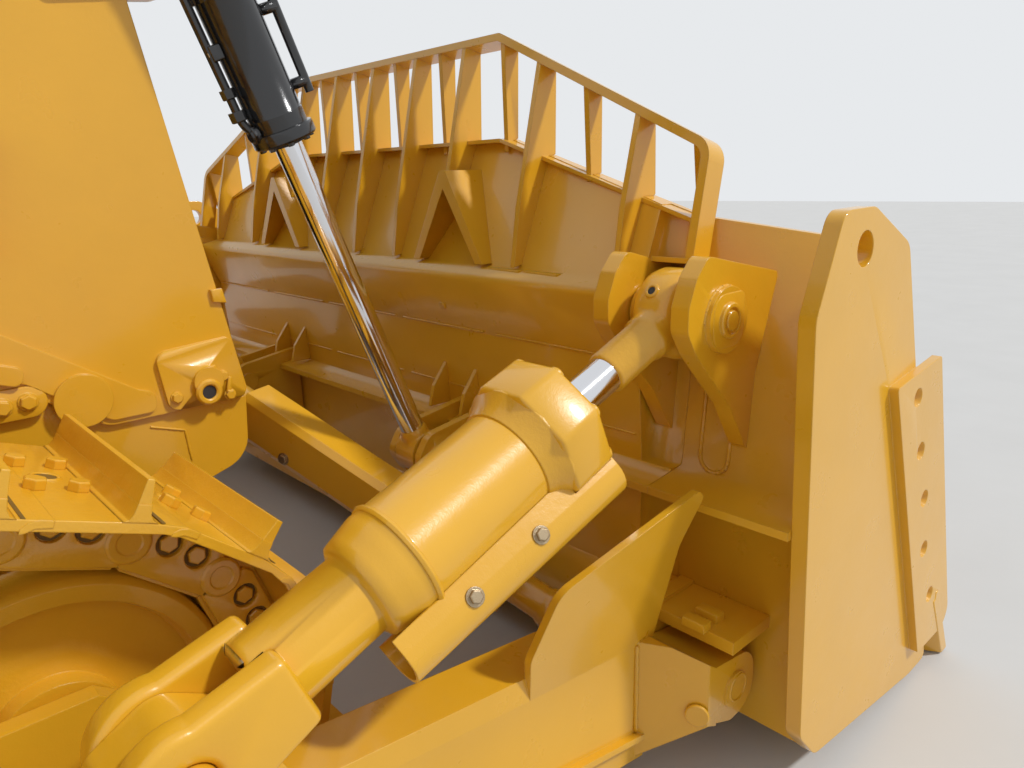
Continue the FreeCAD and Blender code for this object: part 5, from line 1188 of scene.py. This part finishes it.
@dataclass
class TiltWork(Assembly):
    """Rings, lugs, grease holes with painted shade inside, and the line guards' screws of the tilt
    cylinders.
    """

    low: Point = (80.0, -1550.0, 732.0)
    eye: Point = (1374.0, -1550.0, 1254.0)
    barrel: float = 116.0
    step: float = 473.0
    head: tuple[float, float] = (819.0, 935.0)
    rod: float = 44.0

    def build(self, shop: Workshop) -> None:
        """Makes the fittings."""
        axis = way(self.eye[0] - self.low[0], self.eye[2] - self.low[2])
        rise = Vector((-axis.z, 0.0, axis.x))
        foot = at(*self.low)

        def spot(along: Number, turn: Number, out: Number) -> Vector:
            """Gives a place by its station, its angle from straight out and its radius."""
            angle = math.radians(turn)
            side = RIGHT * math.cos(angle) + rise * math.sin(angle)
            return foot + axis * (along / 1000) + side * (out / 1000)

        yellow, bolts, wiper, rim, eye_hole_shade = (Forge() for _ in range(5))
        r, rod = self.barrel, self.rod
        hoop = [(r - 4, -8), (r + 4.8, -6.4), (r + 8, 0), (r + 4.8, 6.4), (r - 4, 8), (r - 4, -8)]
        yellow.add(turned(hoop, 48), stand(spot(self.step, 0, 0), axis))
        lug = [(0, -16), (17, -16), (19, -6), (19, 3), (15, 8), (0, 8)]
        yellow.add(turned(lug, 18), *(stand(spot(self.head[1] - 4, 22.5 + 45 * i, r + 20), axis)
                                      for i in range(8)))
        lip = [(rod + 0.4, 0), (rod + 22, 0), (rod + 20, 12), (rod + 0.4, 14), (rod + 0.4, 0)]
        wiper.add(turned(lip, 36), stand(spot(self.head[1], 0, 0), axis))
        collar = [(r - 6, -46), (r + 3, -44), (r + 12, -20), (r + 30, 4), (r + 30, 10), (r - 6, 10),
                  (r - 6, -46)]
        yellow.add(turned(collar, 48), stand(spot(self.head[0], 0, 0), axis))
        out = Vector((-0.2, -0.86, 0.48)).normalized()
        for x, y, z in ((760.4, -1688.6, 918.0), (591.9, -1685.6, 853.3)):
            bolts.add(hexhead(24, 12, 19), stand(at(x, y, z), out, x))
        hole = stand(at(1283.4, -1548.3, 1319.6), Vector((-0.83, 0.0, 0.55)))
        rim.add(turned([(10, -3), (10, 3), (12, 5), (18, 4), (20, -3), (10, -3)], 24), hole)
        # A black disc inside the rim: painted shade of the grease hole
        eye_hole_shade.add(turned([(0, -3), (10, -3), (10, 2), (0, 2)], 20), hole)
        shop.twins("tilt_barrels", ("tilt_barrel_fittings", yellow, Finish.CAST))
        shop.twins("tilt_rods", ("tilt_eye_rims", rim, Finish.PLATE),
                   ("tilt_eye_hole_shade", eye_hole_shade, Finish.HOSE))
        shop.twins("tilt_barrels", ("line_guard_bolts", bolts, Finish.ZINC),
                   ("tilt_wipers", wiper, Finish.HOSE))


@dataclass
class BladeWork(Assembly):
    """Weld beads, pin caps and small plates on the blade's back."""

    pin: tuple[float, float] = (1374.0, 1254.0)   # x and z of the tilt cylinder's pin
    ear_y: float = -1690.0

    def ledges(self, forge: Forge) -> None:
        """Lays the seams along the blade's back.

        Args:
            forge: Collects the shapes.
        """
        for z, x in ((1098, 1424), (880, 1445)):
            for y0, y1 in ((-1380, -820), (-760, -300), (-250, 250), (300, 760), (820, 1380)):
                forge.weld(at(x, y0, z), at(x, y1, z), 4)
        for y in (-1120, -960):
            forge.add(slab([(0, 0), (150, 8), (150, 40), (0, 34)], 10, 2, 1),
                      lie(at(1398, y, 1306), LEFT, AHEAD, UP))
        sloping = lie(at(1395, -583, 1174), LEFT, Vector((-0.39, 0, 0.92)), Vector((-0.92, 0, -0.39)))
        forge.add(slab(oval(26, 26, 5), 6, 1.5, 1), sloping)

    def clevises(self, forge: Forge) -> None:
        """Makes the tilt clevis' pin cap, pad and weld beads, and the slot's rim beside it.

        Args:
            forge: Collects the shapes.
        """
        x, z = self.pin
        pad = []
        corners = (                   # corner's centre from the pin, radius and first angle
            (44, 44, 22, 0), (-20, 20, 46, 90), (-22, -22, 44, 180), (22, -22, 44, 270))
        for dx, dz, r, first in corners:
            turns = [math.radians(first + 15 * i) for i in range(7)]
            pad += [(dx + r * math.cos(a), dz + r * math.sin(a)) for a in turns]
        forge.add(slab(pad, 16, 5, 3), lie(at(x, self.ear_y, z), AHEAD, UP, RIGHT))
        pin = stand(at(x, self.ear_y - 16, z), RIGHT)
        ring = [(23, -1), (23, 1), (30, 1), (32, 9), (40, 9), (43, 6), (43, -1), (23, -1)]
        forge.add(turned(ring, 40), pin)
        forge.add(turned([(0, -1), (24, -1), (24, 8), (22, 10), (0, 10)], 32), pin)
        turns = [math.radians(180 + 18 * i) for i in range(11)]
        slot = [(-1556, 1030)] + [(-1599 - 43 * math.cos(a), 850 + 43 * math.sin(a)) for a in turns]
        forge.seam([at(1504.5 + 0.105 * (high - 848), y, high) for y, high in slot + [(-1642, 1030)]],
                   7)
        turns = [math.radians(20 * i - 60) for i in range(13)]
        forge.seam([at(x + 80 * math.cos(a), self.ear_y, z + 80 * math.sin(a)) for a in turns], 5)

    def build(self, shop: Workshop) -> None:
        """Makes every piece on the blade."""
        yellow = Forge()
        self.clevises(yellow)
        block = [(0, 0), (36, 0), (36, 66), (0, 66)]
        yellow.add(slab(block, 24, 4, 2),
                   *(lie(at(x, -1715, 456), AHEAD, LEFT, UP) for x in (1306, 1366)))
        yellow.twin()
        self.ledges(yellow)
        shop.piece("blade_fittings", yellow.form, Finish.PLATE, "blade")


@dataclass
class FrameWork(Assembly):
    """Bolts and caps on the drives, roller frames, push arms and stabilizer."""

    middle: float = 1041.5
    base: float = 3206.0
    drive: tuple[float, float] = (-2456.0, 1411.87)
    guard_out: float = 1193.5
    drive_bolts: tuple = ((27, 345, 36), (16, 158, 262))    # number, circle, distance out

    def build(self, shop: Workshop) -> None:
        """Makes the fasteners."""
        yellow, steel, arms, screws = (Forge() for _ in range(4))
        x, z = self.drive
        bolts = (steel, hexhead(28, 14)), (yellow, hexhead(26, 14, 18))
        for (forge, head), (count, circle, out) in zip(bolts, self.drive_bolts):
            turns = [2 * math.pi * i / count for i in range(count)]
            forge.add(head, *(stand(at(x + circle * math.cos(a), -self.middle - out,
                                       z + circle * math.sin(a)), RIGHT, a) for a in turns))
        yellow.add(turned([(0, 0), (80, 0), (80, 4), (0, 8)], 32),
                   stand(at(x, -self.middle - 252, z), RIGHT))
        yellow.add(hexhead(32, 16, 22), *(stand(at(-440 - 232 * i, -self.guard_out, 458), RIGHT, i)
                                          for i in range(11)))
        roller = [(0, 0), (42, 0), (42, 6), (36, 10), (14, 10), (12, 6), (0, 6)]
        first, last, count = 486, 452, 7
        yellow.add(turned(roller, 24), *(
            stand(at(-first - (self.base - first - last) / count * i, -1158, 331), RIGHT)
            for i in range(count + 1)))
        shop.twins("chassis", ("frame_bolts", yellow, Finish.PLATE),
                   ("sprocket_bolts", steel, Finish.WORN))
        cap = [(0, -2), (31, -2), (31, 3), (28, 6), (0, 6)]
        arms.add(turned(cap, 32), stand(at(1248.3, -1743.2, 262), Vector((-0.89, -0.46, 0.0))))
        arms.add(turned([(34, -1), (35, 3), (39, 3), (41, -1), (34, -1)], 36),
                 stand(at(1394.2, -1770.0, 282.7), RIGHT))
        arms.weld(at(1178, -1604, 175), at(1178, -1604, 430), 7)
        shop.twins("push_arms", ("arm_head_caps", arms, Finish.PLATE))
        out = Vector((-0.91, -0.41, 0.0)).normalized()
        for x, y, z in ((818, -462, 741), (1000, -868, 560)):
            screws.add(hexhead(28, 12, 20), stand(at(x, y, z), out, x))
        shop.piece("stabilizer_bolts", screws.form, Finish.ZINC, "stabilizer")


@dataclass
class CabSeat(Assembly):
    """Operator's seat with its cushions, armrests, levers and the instrument console."""

    x: float = -2150.0
    floor: float = 1705.7
    front: float = -1390.0
    cushion: tuple[float, float, float] = (500.0, 500.0, 118.0)
    backrest: tuple[float, float, float] = (650.0, 460.0, 104.0)

    def padded(self, shop: Workshop, name: str, size: tuple[float, float, float],
               place: Matrix) -> None:
        """Makes a crowned cushion with two sewn channels.

        Args:
            shop: The workshop.
            name: The cushion's name.
            size: Length, width and thickness in millimetres.
            place: Where its middle goes.
        """
        form = bmesh.new()
        bmesh.ops.create_cube(form, size=1.0)
        bmesh.ops.subdivide_edges(form, edges=form.edges, cuts=15, use_grid_fill=True)
        for vert in form.verts:
            u, v, w = (2 * c for c in vert.co)
            bulge = (1 - u * u) * (1 - v * v)
            channel = sum(math.exp(-((v - c) / 0.06) ** 2) for c in (-0.45, 0.45)) * (1 - u ** 8)
            pull = 1 - 0.05 * (1 - abs(w)) - 0.03 * (1 - u * u) * abs(v) ** 6
            corner = 1 - 0.06 * (abs(u) ** 8 * abs(v) ** 8)
            top = (w > 0) * w
            vert.co = Vector((u * size[0] / 2000 * pull * corner, v * size[1] / 2000 * pull * corner,
                              w * size[2] / 2000 * (0.72 + 0.28 * bulge if w > 0 else 0.9)
                              - top * channel * 0.012))
        bmesh.ops.smooth_vert(form, verts=form.verts, factor=0.5, use_axis_x=True, use_axis_y=True,
                              use_axis_z=True)
        bmesh.ops.transform(form, matrix=place, verts=form.verts)
        made = shop.piece(name, form, Finish.SEAT, "chassis", 60.0)
        finer = made.modifiers.new("rounding", "SUBSURF")
        finer.levels = finer.render_levels = 1

    def build(self, shop: Workshop) -> None:
        """Makes the seat and the console in place of their CAD solid."""
        x, z = self.x, self.floor
        side = lie(at(0, 0, 0), AHEAD, UP, RIGHT)
        base = Matrix.Translation(at(x, 0, z))
        shell, levers = Forge(), Forge()
        for i in range(7):
            size = 420 - 18 * (i % 2)
            shell.add(slab(oval(size, size - 20, 40), 46, 6),
                      base @ Matrix.Translation((0, 0, 0.046 * i)))
        front = self.front - 48
        arm = [(x - 190, z + 340), (x + 290, z + 340), (x + 325, z + 560), (x + 300, z + 632),
               (x - 190, z + 652)]
        plates = (                    # outline, width, rounding, place across
            ([(x - 255, z + 322), (x + 245, z + 322), (x + 255, z + 345), (x - 250, z + 345)],
             490, 4, -245),
            ([(x - 262, z + 345), (x - 232, z + 345), (x - 322, z + 1012), (x - 346, z + 1008)],
             430, 5, -215),
            (arm, 124, 14, -392), (arm, 124, 14, 268),
            ([(front, z + 2), (front, z + 436), (front - 190, z + 552), (front - 280, z + 476),
              (front - 252, z + 2)], 836, 12, -418))
        for outline, width, soft, across in plates:
            shell.add(slab(outline, width, soft),
                      side @ Matrix.Translation((0, 0, across / 1000)))
        knob = [(0, 0), (26, 0), (22, 26), (9, 34), (8, 62), (17, 70), (20, 88), (13, 98), (0, 100)]
        for y, lean in ((-330, 0.25), (330, -0.2), (270, 0.1)):
            stalk = Vector((0.2, lean * 0.3, 1.0)).normalized()
            levers.add(turned(knob, 18), stand(at(x + 250, y, z + 628), stalk))
        shop.piece("seat_frame_and_console", shell.form, Finish.ENGINE, "chassis",
                   stands_for="cab_inside")
        shop.piece("control_levers", levers.form, Finish.BLACK, "chassis")
        self.padded(shop, "seat_cushion", self.cushion, Matrix.Translation(at(x + 5, 0, z + 396)))
        lean = Matrix.Rotation(math.radians(97.5), 4, "Y") @ Matrix.Rotation(math.pi, 4, "X")
        self.padded(shop, "seat_backrest", self.backrest,
                    Matrix.Translation(at(x - 232, 0, z + 700)) @ lean)


@dataclass
class CabWork(Assembly):
    """Window gaskets, lamp lenses, tread studs, latches and bands."""

    half: float = 660.0
    lamp_rows: tuple = ((-1444.0, 1.0), (-2931.0, -1.0))
    lamp_y: tuple = (-560.0, -260.0, 260.0, 560.0)
    lamp_z: float = 3251.7
    stack: tuple[float, float] = (-840.0, -170.0)
    cleaner: tuple[float, float] = (-1080.0, 190.0)
    hood_z: float = 2235.0
    stud_rows: tuple = ((15, -2270, 58), (8, -1240, 64))    # number, first place, step
    window: Outline = ((-2210, 2185), (-1570, 2185), (-1570, 2365), (-1685, 3070), (-2210, 3070))

    def build(self, shop: Workshop) -> None:
        """Makes the fittings."""
        joint = [(0, -10), (7, -7), (10, 0), (7, 7), (0, 10)]
        for side, body in ((-1, "door_right"), (1, "door_left")):
            gasket = Forge()
            corners = [at(x, side * (self.half + 1), z) for x, z in self.window]
            for start, end in zip(corners, corners[1:] + corners[:1]):
                gasket.add(swept([start, start.lerp(end, 0.5), end], 10, 2))
            gasket.add(turned(joint, 12), *(stand(corner, RIGHT) for corner in corners))
            shop.piece("window_gasket_" + body, gasket.form, Finish.HOSE, body)
        lamps = [stand(at(x, y, self.lamp_z), AHEAD * out)
                 for x, out in self.lamp_rows for y in self.lamp_y]
        lens = [(0, 9), (20, 8.4), (38, 6), (50, 1), (50, -4), (0, -4)]
        bezel = [(49, -3), (49, 6), (56, 9), (62, 6), (64, -4), (49, -3)]
        for name, shape, finish in (("lamp_lenses", lens, Finish.LENS),
                                    ("lamp_bezels", bezel, Finish.BLACK)):
            shop.piece(name, Forge().add(turned(shape, 28), *lamps).form, finish, "chassis")
        (count, x, step), (rows, y, gap) = self.stud_rows
        spots = [stand(at(x + step * i, y + gap * j, 2075), UP)
                 for i in range(count) for j in range(rows)]
        studs = Forge().add(turned([(0, 4), (11, 4), (14, 0), (0, 0)], 10), *spots)
        shop.twins("chassis", ("tread_studs", studs, Finish.PLATE))
        bands = Forge()
        band = [(77, 0), (83, 0), (83, 26), (77, 26), (77, 0)]
        x, y = self.stack
        for z in (150, 420, 720):
            bands.add(turned(band, 36), stand(at(x, y, self.hood_z + z), UP))
            bands.add(hexhead(18, 34), stand(at(x - 6, y - 95, self.hood_z + z + 13), AHEAD))
        for z, r in ((60, 92), (250, 167), (360, 167)):
            bands.add(turned([(r - 6, 0), (r, 0), (r + 2, 5), (r, 10), (r - 6, 10), (r - 6, 0)], 40),
                      stand(at(*self.cleaner, self.hood_z + z), UP))
        shop.piece("stack_bands", bands.form, Finish.BLACK, "chassis")
        latches = Forge()
        for x in (-1180, -480):
            for z in (1560, 2050):
                latches.add(slab(oval(70, 42, 10), 10, 3, 1), lie(at(x, -470, z), AHEAD, UP, RIGHT))
                latches.add(turned([(0, 0), (15, 0), (13, 12), (0, 13)], 16),
                            stand(at(x, -480, z), RIGHT))
        shop.twins("chassis", ("hood_latches", latches, Finish.BLACK))


@dataclass
class RipperWork(Assembly):
    """Pin caps and keeper bolts where the ripper's links meet its mount."""

    front: float = -3560.0
    heights: tuple[float, float] = (860.0, 1340.0)

    def build(self, shop: Workshop) -> None:
        """Makes the caps."""
        cap = [(0, 0), (44, 0), (44, 8), (38, 12), (12, 12), (10, 8), (0, 8)]
        fixed = Forge()
        for z in self.heights:
            fixed.add(turned(cap, 28), stand(at(self.front, -460, z), RIGHT))
            fixed.add(hexhead(20, 10), stand(at(self.front, -468, z), RIGHT))
        shop.twins("chassis", ("hinge_pin_caps", fixed, Finish.ZINC))


@dataclass
class Carried(Assembly):
    """The CAD nodes that need clean shading and a finish, some with softer or split forms."""

    finishes: dict[Finish, Sequence[str]] = field(default_factory=lambda: {
        Finish.BLACK: ("lift_barrels", "work_lamps", "radiator_grille", "stacks"),
        Finish.GLASS: ("cab_glass",),
        Finish.ENGINE: ("engine_block",),
        Finish.WORN: ("ripper_shank", "sprocket_right", "sprocket_left"),
        Finish.CAST: ("final_drive_right", "final_drive_left", "idlers_right", "idlers_left",
                      "track_right", "track_left"),
        Finish.SHEET: ("hood_top", "hood_sides", "cab_shell", "fuel_tank"),
    })
    rounded: dict[float, Sequence[str]] = field(default_factory=lambda: {
        3.0: ("blade_edges",), 3.5: ("blade_end_plates",), 4.0: ("tilt_clevises",),
        5.0: ("track_right", "track_left", "push_arm_right", "push_arm_left", "arm_brackets",
              "lift_yokes", "ripper_mount"),
        6.0: ("ripper_beam",),
    })
    rods: dict[str, tuple] = field(default_factory=lambda: {
        # node: x and z of the barrel's pivot, slope and its share in x and z, place of the cut
        "lift_rods": ((640, 2150), (550, -1420), (0.3612, -0.9325), 1424),
        "tilt_rods": ((80, 732), (1294, 522), (0.9274, 0.3741), 1111),
        "ripper_rods": ((-3590, 1500), (-544, -520), (-0.7229, -0.6910), 683),
    })
    barrel_rows: tuple = ((-160, 205, 15, 4), (700, 960, 9, 2))    # start, end, rounding, faces
    blade_back: float = 1470.0        # ahead of it the V plates' cut-off tips are left out
    pane: Outline = ((-2211, 2184), (-1569, 2184), (-1569, 2366), (-1684, 3071), (-2211, 3071))
    pane_y: float = 636.3
    pane_thick: float = 7.4
    edge_angle: float = 38.0

    def door(self, shop: Workshop, node: str) -> None:
        """Makes a door's frame and its glass.

        Args:
            shop: The workshop.
            node: The door's CAD node.
        """
        shop.copied(node, "frame", shop.pane_out(node, 0.640), Finish.SHEET)
        body = shop.body_of[node]
        side = RIGHT if body == "door_right" else LEFT
        place = lie(at(0, self.pane_y * side.y, 0), AHEAD, UP, side)
        glass = Forge().add(slab(self.pane, self.pane_thick, 0.6), place)
        shop.piece(node + "_pane", glass.form, Finish.GLASS, body, stands_for=node)

    def build(self, shop: Workshop) -> None:
        """Dresses every CAD node."""
        finish_of = {node: finish for finish, nodes in self.finishes.items() for node in nodes}
        round_of = {node: width for width, nodes in self.rounded.items() for node in nodes}
        for node in frame["nodes"]:
            if node in self.rods:
                (x, z), slope, (dx, dz), cut = self.rods[node]
                shop.divide(node, at(x + dx * cut, 0, z + dz * cut), way(*slope),
                            (Finish.CHROME, Finish.CAST))
            elif node in ("cab_door_right", "cab_door_left"):
                self.door(shop, node)
            elif node != "cab_inside":
                form = shop.merged(node)
                if node == "tilt_barrels":
                    (x, z), slope = self.rods["tilt_rods"][:2]
                    shop.soften(form, at(x, 0, z), way(*slope), self.barrel_rows)
                elif node == "blade_gussets":
                    shop.drop_ahead(form, at(self.blade_back, 0, 0).x)
                made = shop.copied(node, "finished", form, finish_of.get(node, Finish.PLATE))
                if node in round_of:
                    edge = made.modifiers.new("edge_rounding", "BEVEL")
                    edge.width = round_of[node] / 1000
                    edge.segments = 2
                    edge.limit_method = "ANGLE"
                    edge.angle_limit = math.radians(self.edge_angle)


def main() -> None:
    """Builds the stage and every piece in order."""
    logging.basicConfig(level=logging.INFO, format="%(message)s")
    Studio().build()
    shop = Workshop(PaintShop())
    for assembly in (Carried, TrackChain, NoseFittings, LiftWork, TiltWork, BladeWork, FrameWork,
                     CabSeat, CabWork, RipperWork):
        assembly().build(shop)


if __name__ == "__main__":
    main()
